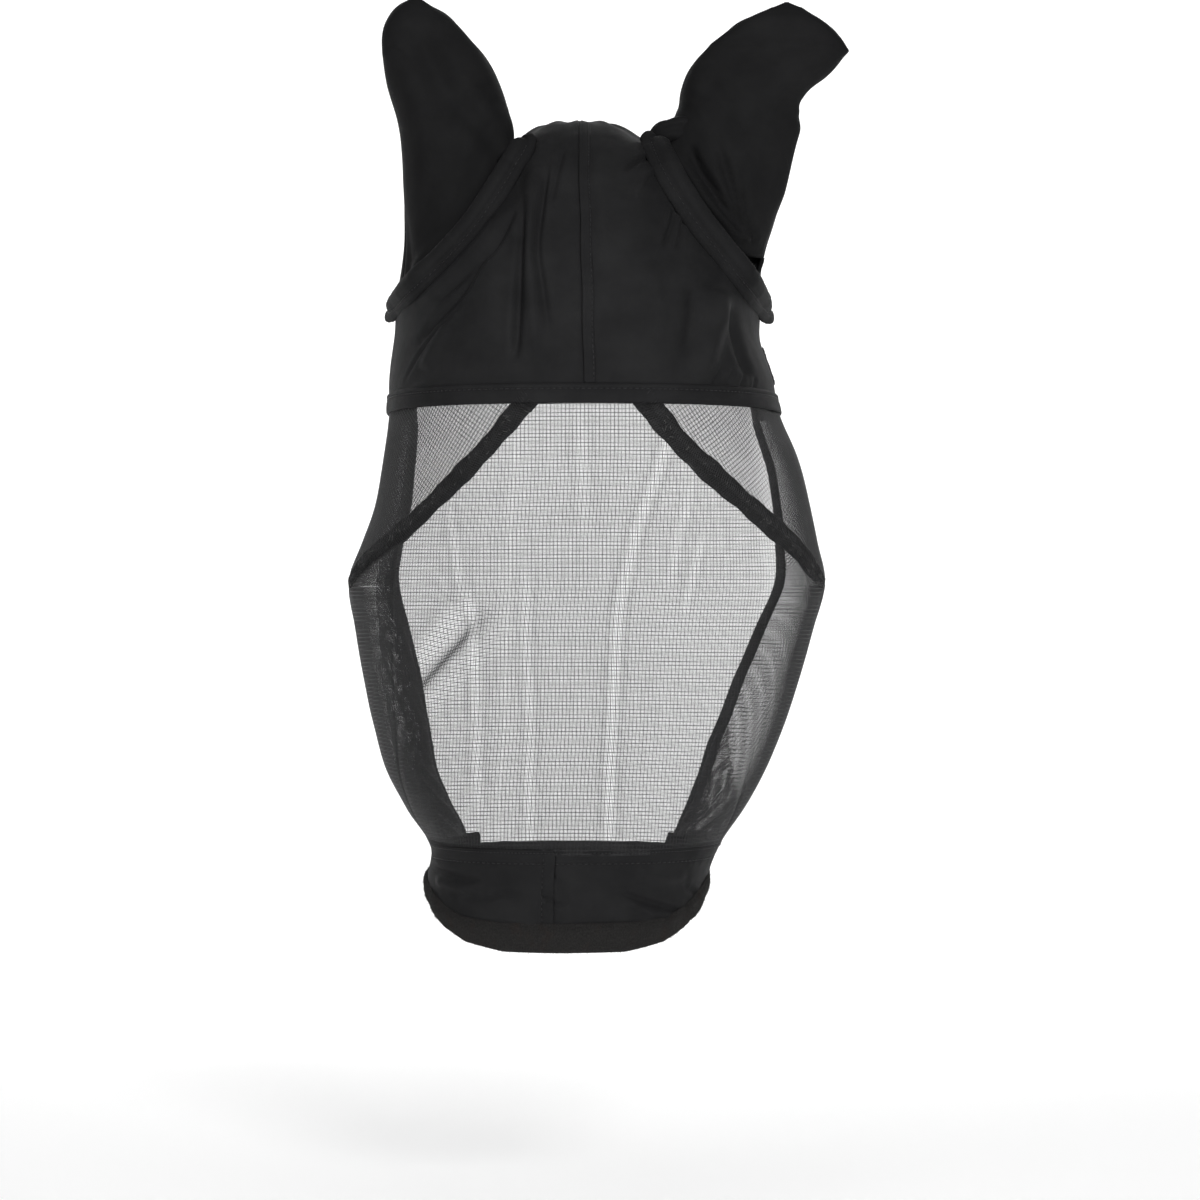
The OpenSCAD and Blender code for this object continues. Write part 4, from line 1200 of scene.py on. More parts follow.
def strands(bag, U, V, valid, posf, index, lift, fine=None, heavy=1.0):
    """Threads of the net, each a closed strip of flattened diamond section. Row k of U and V holds the cloth positions
    along thread k, valid says where the cloth exists, posf gives the point and the outward direction there."""
    P, N = posf(U, V)
    T = unit(np.gradient(P, axis=1))
    side = unit(np.cross(T, N))
    m, n = U.shape
    total, run = 0.0, 0.0
    for k in range(m):
        ok = np.concatenate([[False], valid[k], [False]])
        d = np.diff(ok.astype(int))
        for i0, i1 in zip(np.where(d == 1)[0], np.where(d == -1)[0] - 1):
            if i1 - i0 < 2:
                continue
            keep = np.arange(i0, i1 + 1) % 5 == 0
            if fine is not None:
                keep |= fine[k, i0:i1 + 1]
            keep[0] = keep[-1] = True
            j = np.arange(i0, i1 + 1)[keep]
            w = heavy * (1.09 - 0.08 * smooth(U[k, j], -80, -25) - 0.3 * smooth(U[k, j], 98, 122)) * TH_W[int(index[k]) % 3] * (1 + 0.10 * nz_a(U[k, j] / 9.0 + 3 * index[k], V[k, j] / 9.0)) / 2
            p, q, r = P[k, j] + N[k, j] * lift, side[k, j] * w[:, None], N[k, j] * TH_T / 2
            C = np.stack([p + q, p + r, p - q, p - r], 1)
            c = len(j)
            F = np.concatenate([grid_faces(c, 4, 0, True), [[3, 2, 1, 0], [4 * c - 4, 4 * c - 3, 4 * c - 2, 4 * c - 1]]])
            fab = np.repeat(np.stack([U[k, j], V[k, j], np.zeros(c)], -1), 4, 0)
            bag.add(C, F, fab)
            ln = np.linalg.norm(np.diff(p, axis=0), axis=1)
            total += float((ln * 4 * np.hypot((w[1:] + w[:-1]) / 2, TH_T / 2)).sum())
            run += float(np.hypot(np.diff(U[k, j]), np.diff(V[k, j])).sum())
    return total / 2e6, run * (PX_ if lift < 0 else PZ_) / 2e6


class Net:
    """One piece of net: its threads both ways, and the area they cover."""
    def __init__(self):
        self.bag, self.area, self.flat = Bag(), 0.0, 0.0

    def add(self, *args, **kw):
        a, f = strands(self.bag, *args, **kw)
        self.area += a
        self.flat += f     # half of thread length times thread spacing, for each of the two directions

    def done(self, name):
        if not self.bag.v:
            return None
        ob = make(name, np.concatenate(self.bag.v), np.concatenate(self.bag.f), M_NET, True, np.concatenate(self.bag.a))
        f = np.concatenate(self.bag.a)
        ob["thread_area"] = self.area
        ob["flat_area"] = self.flat
        ob["wide"], ob["long"] = float(np.ptp(f[:, 0])) / 1000, float(np.ptp(f[:, 1])) / 1000
        return ob


def net_bulge(S, V):
    """How far the net stands out from the body surface, by distance from the middle and level."""
    d = 0.25 + 0.5 * nz_a(S / 45.0 + 2.0, V / 55.0) + 0.12 * nz_b(S / 14.0, V / 17.0)
    x, z = S, V
    # soft lengthwise pleats and the slanting crease on the left
    d = d + 0.8 * bump(S, -41, 6) * smooth(V, 60, 120) + 0.9 * bump(S, 4, 5) * (1 - smooth(V, 120, 230))
    d = d - 0.6 * bump(S, -30, 5) * smooth(V, 80, 160)
    return d


STREAKS = []     # soft lengthwise stretches in the net, where the threads spread: path (x, z), spread, half width
for path, amp, wid in (
        ([(52, 300), (49.9, 280.6), (36, 241.8), (25.5, 200.3), (20, 125), (18.9, 58)], 0.62, 2.7),
        ([(-27, 215), (-27, 190), (-24.9, 130.6), (-24.9, 58)], 0.42, 2.6),
        ([(-60, 205), (-55.3, 182), (-54.7, 104.5), (-53, 80)], 0.5, 2.8),
        ([(-69, 250), (-66, 226), (-62.5, 197)], 0.45, 2.4),
        ([(64, 262), (56, 228), (52, 205)], 0.35, 2.6),
        ([(72, 235), (66, 216), (60, 190)], 0.4, 2.2),
        ([(3, 302), (4, 270), (5, 235)], 0.3, 3.2)):
    q = np.array([sv(x, z) for x, z in path], float)
    q = q[np.argsort(q[:, 1])]
    STREAKS.append((q, amp, wid))


def crease_pull(S, V):
    """Sideways pull of the threads towards the slanting crease, and slight spreading along light streaks."""
    x0, z0, x1, z1 = -97.0, 141.0, -49.0, 189.0
    L = math.hypot(x1 - x0, z1 - z0)
    tx, tz = (x1 - x0) / L, (z1 - z0) / L
    t = ((S - x0) * tx + (V - z0) * tz) / L
    d = -(S - x0) * tz + (V - z0) * tx
    w = smooth(t, -0.15, 0.25) * (1 - smooth(t, 0.6, 1.15))
    pull = -1.9 * (d / 6.8) * np.exp(0.5 - 0.5 * (d / 6.8) ** 2) * w
    pull = pull + 0.9 * ((d - 13) / 5.5) * np.exp(0.5 - 0.5 * ((d - 13) / 5.5) ** 2) * w
    dS, dV = -tz * pull, tx * pull
    for q, amp, wid in STREAKS:
        c = np.interp(V, q[:, 1], q[:, 0])
        w = smooth(V, q[0, 1] - 8, q[0, 1] + 14) * (1 - smooth(V, q[-1, 1] - 14, q[-1, 1] + 8))
        dS = dS + amp * ((S - c) / wid) * np.exp(0.5 - 0.5 * ((S - c) / wid) ** 2) * w
    return dS, dV


def face_pos(S, V):
    a = a_of(S, V)
    P = surf(a, V, 0)
    up = unit(surf(a, V, 4) - surf(a, V, -4))
    return P + up * (0.4 + net_bulge(S, V))[..., None], up


def face_field(S, V):
    """Where a thread crossing planned at (S, V) lies, and whether the net reaches it."""
    j1, j2 = Noise(31), Noise(32)
    S2 = S + 0.05 * j1(S / 4.1, V / 30) + 0.5 * j2(S / 60, V / 70)
    V2 = V + 0.05 * j2(S / 33, V / 4.7) + 0.9 * j1(S / 75 + 5, V / 90)
    dS, dV = crease_pull(S2, V2)
    S, V = S2 + dS, V2 + dV
    A = a_of(S, np.clip(V, 50, 310))
    ok = np.abs(A) < net_rear(V, np.sign(A)) - 3.0
    ok &= (V > 54.5) & (V < 308)
    dl = np.interp(V, DARTL[::-1, 1], DARTL[::-1, 0])
    dr = np.interp(V, DARTR[::-1, 1], DARTR[::-1, 0])
    ok &= (V < 206) | ((A > dl - 0.8) & (A < dr + 0.8))
    fine = (np.abs(S + 74) < 36) & (V > 126) & (V < 204)
    return S, V, ok, fine


def face_net_piece(name, s0, s1):
    net = Net()
    i0, i1 = math.ceil(s0 / PX_), math.ceil(s1 / PX_)
    cols = np.arange(i0, i1)
    S, V = np.meshgrid(cols * PX_, np.arange(48.5, 309, 1.3), indexing="ij")
    S, V, ok, fine = face_field(S, V)
    net.add(S, V, ok, face_pos, cols, -0.05, fine=fine)
    rows = np.arange(0, 324)
    V, S = np.meshgrid(53.5 + rows * PZ_, np.arange(i0 * PX_ - PX_ / 2, i1 * PX_ - PX_ / 2 + 1.2, 1.3), indexing="ij")
    S, V, ok, fine = face_field(S, V)
    net.add(S, V, ok, face_pos, rows, 0.05, fine=fine)
    return net.done(name)


NET_CUTS = [-440, -180, -112, -38, 38, 112, 180, 440]
net_face = [face_net_piece("net_face_%d" % i, NET_CUTS[i], NET_CUTS[i + 1]) for i in range(7)]


def side_net_piece(side):
    """Triangle above the dart: the same net cut on the slant."""
    rot = math.radians(33) * side
    a0, v0 = 95 * side, 250.0
    s0 = float(s_of(a0, v0))
    j1, j2 = Noise(41 + side), Noise(44 + side)

    def field(U, W):
        S = s0 + U * math.cos(rot) - W * math.sin(rot)
        V = v0 + U * math.sin(rot) + W * math.cos(rot)
        S = S + 0.5 * j1(S / 50, V / 60)
        V = V + 0.5 * j2(S / 55, V / 50)
        A = a_of(S, np.clip(V, 0, 500))
        dl = np.interp(V, DARTL[::-1, 1], DARTL[::-1, 0])
        dr = np.interp(V, DARTR[::-1, 1], DARTR[::-1, 0])
        ok = (V < 308) & (V > 205) & (np.abs(A) < net_rear(V, side) - 3.0)
        ok &= (A < dl + 0.8) if side < 0 else (A > dr - 0.8)
        return S, V, ok

    def pos(S, V):
        V = np.clip(V, 0, 500)
        a = a_of(S, V)
        P = surf(a, V, 0)
        up = unit(surf(a, V, 4) - surf(a, V, -4))
        return P + up * (0.4 + 0.4 * nz_a(S / 30, V / 30))[..., None], up
    net = Net()
    k = np.arange(-225, 226)
    U, W = np.meshgrid(k * PX_, np.arange(-170, 170, 1.3), indexing="ij")
    S, V, ok = field(U, W)
    use = ok.any(1)
    net.add(S[use], V[use], ok[use], pos, k[use], -0.05, heavy=1.24)
    k = np.arange(-210, 211)
    W, U = np.meshgrid(k * PZ_, np.arange(-170, 170, 1.3), indexing="ij")
    S, V, ok = field(U, W)
    use = ok.any(1)
    net.add(S[use], V[use], ok[use], pos, k[use], 0.05, heavy=1.24)
    return net.done("net_side_left" if side < 0 else "net_side_right")


net_sl = side_net_piece(-1)
net_sr = side_net_piece(1)
CHEEK_L = np.array([[56, 66], [90, 64], [130, 58], [170, 46], [210, 34], [250, 26], [300, 16]], float)
CHEEK_R = np.array([[56, 58], [84, 50], [104, 29], [124, 12], [160, 6], [210, 6], [250, 9], [300, 9]], float)


def cheek_layer(side, lift, shear, share, seed, name):
    """The net's spare width at the cheek, turned in and gathered against the jaw binding."""
    T = CHEEK_L if side < 0 else CHEEK_R
    j1, j2 = Noise(seed), Noise(seed + 1)

    def field(S, V):
        S2 = S + shear * (V - 180) + 1.2 * j1(S / 30, V / 40)
        V2 = V - shear * 0.8 * (S - 150) + 1.2 * j2(S / 26, V / 44)
        A = a_of(S2 * side, np.clip(V2, 50, 310)) * side
        far = s_of(net_rear(V2, side) * side, np.clip(V2, 50, 310)) * side
        wide = np.interp(V2, T[:, 0], T[:, 1]) * share * (1 + 0.22 * j1(V2 / 23 + 9, V2 * 0 + seed))
        ok = (V2 > 57) & (V2 < 304) & (A < net_rear(V2, side) - 2.0) & (far - S2 < wide)
        return S2 * side, V2, ok

    def pos(S, V):
        V = np.clip(V, 0, 500)
        a = a_of(S, V)
        P = surf(a, V, 0)
        up = unit(surf(a, V, 4) - surf(a, V, -4))
        far = s_of(net_rear(V, side) * side, V) * side - S * side
        deep = lift * smooth(far, 0, 12) * (1 + 0.55 * j1(S / 8.0, V / 60 + 3) + 0.3 * j2(S / 19, V / 26))
        return P + up * (-0.3 - deep)[..., None], up
    net = Net()
    k = np.arange(30, 495)
    S, V = np.meshgrid(k * PX_, np.arange(50, 310, 1.3), indexing="ij")
    S, V, ok = field(S, V)
    use = ok.any(1)
    net.add(S[use], V[use], ok[use], pos, k[use], -0.05)
    k = np.arange(0, 390)
    V, S = np.meshgrid(30 + k * PZ_, np.arange(20, 340, 1.3), indexing="ij")
    S, V, ok = field(S, V)
    use = ok.any(1)
    net.add(S[use], V[use], ok[use], pos, k[use], 0.05)
    return net.done(name)


cheek = [cheek_layer(-1, 2.6, 0.06, 1.0, 61, "net_turned_in_left"), cheek_layer(-1, 4.6, -0.10, 0.62, 65, "net_gather_left"),
         cheek_layer(1, 2.6, -0.07, 1.0, 71, "net_turned_in_right"), cheek_layer(1, 4.4, 0.09, 0.5, 75, "net_gather_right")]
print("NET", [(o.name, len(o.data.polygons) * 2, round(o["thread_area"], 5), round(o["wide"], 3), round(o["long"], 3)) for o in net_face + [net_sl, net_sr] + cheek])


# ------------------------------------------------------------------ dart tapes
LINT = Bag()


def dart_tape(side):
    D = DARTL if side < 0 else DARTR
    n = 220
    first = [D[0][0] * 1.32 - D[1][0] * 0.32, 310.5]
    pts = np.array([first] + [list(r) for r in D[1:]])
    pts[-1] = [75.5 * side, 206.5]
    W0 = 5.7 if side < 0 else 6.6

    def prof(t):
        w = W0 * (1 - 0.45 * smooth(t, 0.8, 1.0)) * (1 + 0.07 * math.sin(t * 23) + 0.05 * math.sin(t * 61 + 1))
        h = 1.5 + 0.9 * float(smooth(t, 0.9, 1.0))
        q = []
        for a in np.linspace(0, 2 * np.pi, 23)[:-1]:
            c, s_ = math.cos(a), math.sin(a)
            x = math.copysign(abs(c) ** 0.8, c) * w
            y = math.copysign(abs(s_) ** 0.7, s_) * h / 2 + 1.5 - 2.3 * float(1 - smooth(t, 0.025, 0.075))
            if s_ > 0:      # two rolled edges with the seam between them
                y -= 0.55 * math.exp(-((x / w) / 0.2) ** 2)
            q.append((x, y))
        return q

    def fuzz(u, L, sd, up, pr):
        k = pr.shape[1]
        a = 0.25 * nz_b(L[:, None] / 1.1, np.arange(k)[None] * 0.55) + 0.3 * nz_a(L[:, None] / 5.0, np.arange(k)[None] * 0.3)
        return up[:, None] * a[..., None]

    ob = ribbon("dart_tape_fold_left" if side < 0 else "dart_tape_fold_right", pts[:, 0], pts[:, 1], prof, M_TAPE, n, extra=fuzz)
    C = catmull(pts, n)
    S0 = surf(C[:, 0], C[:, 1], 0)
    up = unit(surf(C[:, 0], C[:, 1], 4) - surf(C[:, 0], C[:, 1], -4))
    T = unit(np.gradient(S0, axis=0))
    sd = unit(np.cross(T, up))
    L = np.concatenate([[0], np.cumsum(np.linalg.norm(np.diff(S0, axis=0), axis=1))])
    bag = Bag()
    r = np.random.default_rng(5 + side)
    t = 0.5
    while t < L[-1] - 2:       # overlock loops lying across the tape
        w = W0 * 0.98 * (1 - 0.45 * float(smooth(t / L[-1], 0.8, 1.0)))
        for off, ph in ((-0.5, 0), (0.5, 0.6)):
            q = np.linspace(-1, 1, 7)
            pos = t + ph + q * 0.75 * (1 if off < 0 else -1)
            cen = np.stack([np.interp(pos, L, S0[:, i]) for i in range(3)], 1)
            uu = np.stack([np.interp(pos, L, up[:, i]) for i in range(3)], 1)
            ss = np.stack([np.interp(pos, L, sd[:, i]) for i in range(3)], 1)
            x = off * w + q * 0.46 * w
            hh = 2.05 + 0.42 * np.sqrt(np.clip(1 - q ** 2, 0, 1)) + r.normal(0, 0.08)
            Vv, F = tube(cen + ss * x[:, None] + uu * hh[:, None], 0.2, 5, up=uu)
            bag.add(Vv, F, [t, off, 0])
        t += 1.35 + r.normal(0, 0.12)
    for _ in range(90):        # lint and thread ends
        t = r.uniform(3, L[-1] - 4)
        cen = np.array([np.interp(t, L, S0[:, i]) for i in range(3)])
        uu = np.array([np.interp(t, L, up[:, i]) for i in range(3)])
        ss = np.array([np.interp(t, L, sd[:, i]) for i in range(3)])
        tt = np.array([np.interp(t, L, T[:, i]) for i in range(3)])
        a0 = cen + ss * r.uniform(-0.9, 0.9) * W0 + uu * 2.4
        d1 = ss * r.normal(0, 1.1) + tt * r.normal(0, 1.1) + uu * abs(r.normal(0, 0.5))
        d2 = ss * r.normal(0, 0.8) + tt * r.normal(0, 0.8)
        q = np.linspace(0, 1, 5)[:, None]
        Vv, F = tube(a0 + d1 * q + d2 * q * q, 0.075, 4)
        (LINT if r.random() < 0.55 else bag).add(Vv, F, [t, 0, 0])
    th = bag.done("dart_threads_left" if side < 0 else "dart_threads_right", M_STITCH)
    return ob, th


dart_l, dart_tl = dart_tape(-1)
dart_r, dart_tr = dart_tape(1)


# ------------------------------------------------------------------ noseband
NOSE_FOLDS = [
    ([(-85, 46), (-74, 43), (-60, 40), (-52, 42)], 1.4, 2.0, "crease"),
    ([(-80, 38), (-68, 36), (-57, 33)], 1.2, 3.0, "ridge"),
    ([(-66, 33), (-52, 30), (-40, 33), (-28, 31)], 1.1, 2.2, "crease"),
    ([(-18, 32), (-10, 27), (-4, 29)], 1.2, 1.6, "crease!"),
    ([(-14, 46), (-9, 38), (-7, 28)], 0.9, 1.6, "crease"),
    ([(24, 34), (38, 29), (52, 24), (66, 19)], 1.5, 2.0, "crease"),
    ([(30, 26), (44, 22), (58, 17)], 1.1, 2.2, "ridge"),
    ([(34, 45), (50, 41), (64, 42)], 1.0, 3.4, "ridge"),
    ([(60, 37), (68, 30), (72, 24)], 1.0, 2.0, "crease"),
]


def nose_disp(P):
    front = smooth(-P[..., 1], 0, 30)
    d = 1.7 * folds(P, NOSE_FOLDS) * front
    d = d + 0.35 * nz_a(P[..., 0] / 17 + P[..., 1] / 21, P[..., 2] / 14 + 9) + 0.13 * nz_b(P[..., 0] / 6 + P[..., 1] / 8, P[..., 2] / 7)
    d = d + 0.22 * np.exp(-((P[..., 2] - 49.5) / 3) ** 2) * nz_c(P[..., 0] / 3.6 + P[..., 1] / 4.1, 1.5 + 0 * P[..., 2])
    return d


NOSE_S0 = -6.0     # the middle seam sits a little left of centre


def nose_half(s):
    n, m = 260, 46
    u = np.linspace(0, 1, n)[None]
    tt = np.linspace(0, 1, m)[:, None]
    a_mid = -2.4
    A = np.where(s < 0, -139.5 + (a_mid - 0.03 + 139.5) * u, a_mid + 0.03 + (139.5 - a_mid - 0.03) * u) + 0 * tt
    v0 = edge(A) + bind_h(A) * 0.8
    V = v0 + (57.6 - v0) * tt
    P0 = surf(A, V, 1.0)
    N = grid_normals(P0)
    d = nose_disp(P0) * smooth(tt, 0.0, 0.15) * (1 - 0.7 * smooth(tt, 0.9, 1.0))
    S = s_of(A, V)
    sm = S - NOSE_S0
    d = d - 0.5 * np.exp(-(np.abs(sm) / 0.9) ** 2) - 0.45 * np.exp(-((V - 50.0) / 0.8) ** 2) - 0.35 * np.exp(-((sm + 6.3) / 0.9) ** 2)
    P = P0 + N * d[..., None]
    fab = np.stack([S, V, 0 * S], -1)
    return thick("noseband_cloth_left" if s < 0 else "noseband_cloth_right", P, 1.0, M_NOSE_PAINTED_LIGHT, fab)


nose_l = nose_half(-1)
nose_r = nose_half(1)
a_ = np.linspace(-137, 137, 620)
NST = Bag()
plain_line(a_, np.full_like(a_, 50.0), 0.62, lambda P: nose_disp(P), bag=NST, length=2.5, gap=0.8, w=0.5, lift=0.25)
plain_line(a_, np.full_like(a_, 56.1), 0.95, None, bag=NST, length=1.6, gap=0.5, w=0.4, lift=0.2)
v_ = np.linspace(17.5, 55.4, 90)
plain_line(a_of(np.full_like(v_, NOSE_S0 - 6.3), v_), v_, 0.72, lambda P: nose_disp(P), bag=NST, length=2.3, gap=0.8, w=0.42, lift=0.25)
nose_stitch = NST.done("noseband_stitches", M_STITCH)


def seam_box(t):
    return [(3.4, -0.1), (3.3, 0.06), (2.6, 0.24), (1.2, 0.36), (0, 0.38), (-1.2, 0.36), (-2.6, 0.24), (-3.3, 0.06), (-3.4, -0.1), (-1.5, -0.3), (0, -0.3), (1.5, -0.3)]


sv2 = np.linspace(16.5, 56.4, 30)


def on_nose(u, L, side, up, pr):
    C = catmull(np.stack([a_of(np.full_like(sv2, NOSE_S0 - 3.2), sv2), sv2], 1), 60)
    P0 = surf(C[:, 0], C[:, 1], 1.0)
    return (up * (1.0 + nose_disp(P0) - 0.1)[:, None])[:, None] * np.ones((1, pr.shape[1], 1))


nose_seam = ribbon("noseband_seam_fold", a_of(np.full_like(sv2, NOSE_S0 - 3.2), sv2), sv2, seam_box, M_NOSE_PAINTED_LIGHT, 60, extra=on_nose)


# overlocked raw edge inside the noseband's top
def over_prof(a):
    return [(v + 0.25 * math.sin(a * 3.1), o + 0.18 * math.sin(a * 9.7 + v)) for v, o in rounded(53.6, 60.4, -1.7, -0.5, 6, 0.55)]


overlock = band_loop("noseband_overlock_edge", np.linspace(-128, 128, 620), over_prof, M_OVER)


# brushed binding round the nose edge
def bind_prof(a):
    e, h = float(edge(a)), float(bind_h(a))
    q = []
    for i in range(30):
        t = 2 * math.pi * i / 30
        c, s_ = math.cos(t), math.sin(t)
        x = e + h * (0.5 + 0.53 * math.copysign(abs(c) ** 0.8, c))
        fat = 1.0 + 0.18 * math.sin(a * 0.11) + 0.1 * math.sin(a * 0.31 + 1)
        y = 0.9 + (2.5 * fat if s_ > 0 else 1.9) * math.copysign(abs(s_) ** 0.75, s_)
        if s_ > 0:
            y -= 0.7 * math.exp(-((x - e - h * 0.93) / 1.2) ** 2)
        q.append((x, y))
    return q


def bind_fuzz(P):
    return 0.5 * nz_a(P[..., 0] / 9 + P[..., 1] / 8, P[..., 2] / 8) + 0.24 * nz_b(P[..., 0] / 2.1 + P[..., 1] / 2.6, P[..., 2] / 1.9) + 0.12 * nz_c(P[..., 0] / 0.9 + P[..., 1], P[..., 2] / 0.8)


nose_bind = band_loop("nose_edge_binding_roll", np.linspace(-139.8, 139.8, 760), bind_prof, M_FLEECE, bind_fuzz)


def pile(ob, count, length, seed, name):
    """Short fibres standing on the outer side of a piece."""
    me = ob.data
    co = np.empty(len(me.vertices) * 3)
    me.vertices.foreach_get("co", co)
    no = np.empty(len(me.vertices) * 3)
    me.vertices.foreach_get("normal", no)
    co, no = co.reshape(-1, 3) * 1000, no.reshape(-1, 3)
    r = np.random.default_rng(seed)
    pick = r.choice(len(co), count)
    p = co[pick] + r.normal(0, 0.45, (count, 3))
    d = unit(no[pick] + r.normal(0, 0.75, (count, 3)))
    e = unit(np.cross(d, r.normal(0, 1, (count, 3))))
    f = np.cross(d, e)
    ln = length * r.uniform(0.5, 1.3, count)
    bend = r.normal(0, 0.45, (count, 1)) * e + r.normal(0, 0.45, (count, 1)) * f
    rings = []
    for q, rad in ((0, 0.07), (0.55, 0.055), (1.0, 0.02)):
        c = p + d * (ln * q)[:, None] + bend * (ln * q * q)[:, None] - no[pick] * 0.15
        rings.append(np.stack([c + rad * (math.cos(t) * e + math.sin(t) * f) for t in (0, 2.1, 4.2)], 1))
    V = np.stack(rings, 1).reshape(count, 9, 3)
    b = np.arange(count)[:, None] * 9
    F = []
    for k in (0, 3):
        for j in range(3):
            F.append(np.concatenate([b + k + j, b + k + (j + 1) % 3, b + k + 3 + (j + 1) % 3, b + k + 3 + j], 1))
    F = np.concatenate(F)
    return V.reshape(-1, 3), F


Vp, Fp = pile(nose_bind, 9000, 1.0, 3, "x")
nose_pile = make("nose_binding_pile", Vp, Fp, M_FLEECE, True, Vp)


# ------------------------------------------------------------------ edge bindings
def side_strip(name, s, V, mat, o0, o1, width, n_out=420, ribs=True):
    """Binding folded round the rear edge of the cloth, swept up along it."""
    V = np.linspace(V[0], V[-1], n_out)
    rows = []
    for i, v in enumerate(V):
        r_ = float(net_rear(v, s))
        k = float(s_of(r_, v)) if s > 0 else -float(s_of(-r_, v))
        q = []
        m = 26
        for j in range(m):
            t = 2 * math.pi * j / m
            c, si = math.cos(t), math.sin(t)
            d = width / 2 * (1 - math.copysign(abs(c) ** 0.75, c))          # 0 at the edge, width at the inner side
            y = (o0 + o1) / 2 + (o1 - o0) / 2 * math.copysign(abs(si) ** 0.7, si)
            if ribs and abs(si) > 0.3:
                y += 0.16 * math.copysign(1, si) * math.cos(d * 2 * math.pi / 1.9)
            y += 0.14 * math.sin(v * 2.3 + j * 0.2)
            q.append((k - d, v, y))
        rows.append(q)
    G = np.array(rows)
    ss, vv, oo = G[..., 0] * s, G[..., 1], G[..., 2]
    a = a_of(ss, vv)
    P = surf(a, vv, 0)
    up = unit(surf(a, vv, 4) - surf(a, vv, -4))
    P = P + up * (oo + 0.35 * nz_a(vv / 16.0, ss / 9.0))[..., None]
    m, k = P.shape[:2]
    F = [grid_faces(m, k, 0, True)]
    for e, flip in ((0, True), (m - 1, False)):
        idx = np.arange(k) + e * k
        q = np.array([[idx[i], idx[i + 1], idx[k - 2 - i], idx[k - 1 - i]] for i in range(k // 2 - 1)])
        F.append(q if flip else q[:, ::-1])
    fab = np.stack([vv, np.broadcast_to(np.arange(k) * 0.9, ss.shape), 0 * ss], -1)
    return make(name, P.reshape(-1, 3), np.concatenate(F), mat, True, fab.reshape(-1, 3))


jaw_l = side_strip("jaw_binding_tape_left", -1, (56.3, 305.6), M_ELASTIC, -1.3, 1.7, 9.5)
jaw_r = side_strip("jaw_binding_tape_right", 1, (56.3, 305.6), M_ELASTIC, -1.3, 1.7, 9.5)
neck_l = side_strip("neck_binding_tape_left", -1, (306, 490.5), M_ELASTIC, -1.0, 2.6, 9.5)
neck_r = side_strip("neck_binding_tape_right", 1, (306, 490.5), M_ELASTIC, -1.0, 2.6, 9.5)


# ------------------------------------------------------------------ straps
def strap(name, v0, v1, al, ar, o0, o1, mat, n=260, ribs=True):
    A = np.linspace(ar, 360 - al, n)
    A = np.where(A > 180, A - 360, A)

    def prof(v0=v0, v1=v1):
        q = []
        m = 44
        h, w = (o1 - o0) / 2, (v1 - v0) / 2
        for j in range(m):
            t = 2 * math.pi * j / m
            c, si = math.cos(t), math.sin(t)
            x = math.copysign(abs(c) ** 0.6, c) * w
            y = math.copysign(abs(si) ** 0.5, si) * h
            if ribs and abs(si) > 0.3:
                y += 0.13 * math.copysign(1, si) * math.cos(x * 2 * math.pi / 2.2)
            q.append(((v0 + v1) / 2 + x, (o0 + o1) / 2 + y))
        return q

    Q = np.array(prof())
    S = np.arange(n)
    G = np.stack([np.broadcast_to(A[:, None], (n, len(Q))), np.broadcast_to(Q[None, :, 0], (n, len(Q))), np.broadcast_to(Q[None, :, 1], (n, len(Q)))], -1)
    # the real ends are turned under and stitched; the sweep here keeps one thickness up to them
    P = surf(G[..., 0], G[..., 1], G[..., 2])
    per = np.arange(len(Q)) * 1.0
    L = np.concatenate([[0], np.cumsum(np.linalg.norm(np.diff(P[:, 0], axis=0), axis=1))])
    fab = np.stack([np.broadcast_to(L[:, None], P.shape[:2]), np.broadcast_to(Q[None, :, 0], P.shape[:2]), np.zeros(P.shape[:2])], -1)
    m, k = P.shape[:2]
    F = [grid_faces(m, k, 0, True)]
    for e, flip in ((0, True), (m - 1, False)):
        idx = np.arange(k) + e * k
        q = np.array([[idx[i], idx[i + 1], idx[k - 2 - i], idx[k - 1 - i]] for i in range(k // 2 - 1)])
        F.append(q if flip else q[:, ::-1])
    return make(name, P.reshape(-1, 3), np.concatenate(F), mat, True, fab.reshape(-1, 3))


throat = strap("throat_strap_webbing", 326, 348, 112, 99.5, 4.65, 6.0, M_ELASTIC)
chin = strap("chin_strap_webbing", 39.5, 51.5, 136, 111, 6.65, 8.0, M_ELASTIC)
TST, CST = Bag(), Bag()
for v_ in (328.2, 345.8):
    aa = np.linspace(100.5, 109, 24)
    plain_line(aa, np.full_like(aa, v_), 6.05, bag=TST, length=2.2, gap=0.8, w=0.45, lift=0.2)
for a0 in (100.7, 109.2):
    vv = np.linspace(327.6, 346.4, 20)
    plain_line(np.full_like(vv, a0), vv, 6.05, bag=TST, length=2.2, gap=0.8, w=0.45, lift=0.2)
for a0 in (-113.5, -118):
    vv = np.linspace(327.6, 346.4, 20)
    plain_line(np.full_like(vv, a0), vv, 6.05, bag=TST, length=2.2, gap=0.8, w=0.45, lift=0.2)
for v_ in (41.2, 49.8):
    aa = np.linspace(112.5, 131, 30)
    plain_line(aa, np.full_like(aa, v_), 8.05, bag=CST, length=2.0, gap=0.8, w=0.42, lift=0.2)
for a0 in (112.8, 130.5, -137.5, -140.5):
    vv = np.linspace(41, 50, 12)
    plain_line(np.full_like(vv, a0), vv, 8.05, bag=CST, length=2.0, gap=0.8, w=0.42, lift=0.2)
throat_st = TST.done("throat_strap_stitches", M_STITCH)
chin_st = CST.done("chin_strap_stitches", M_STITCH)


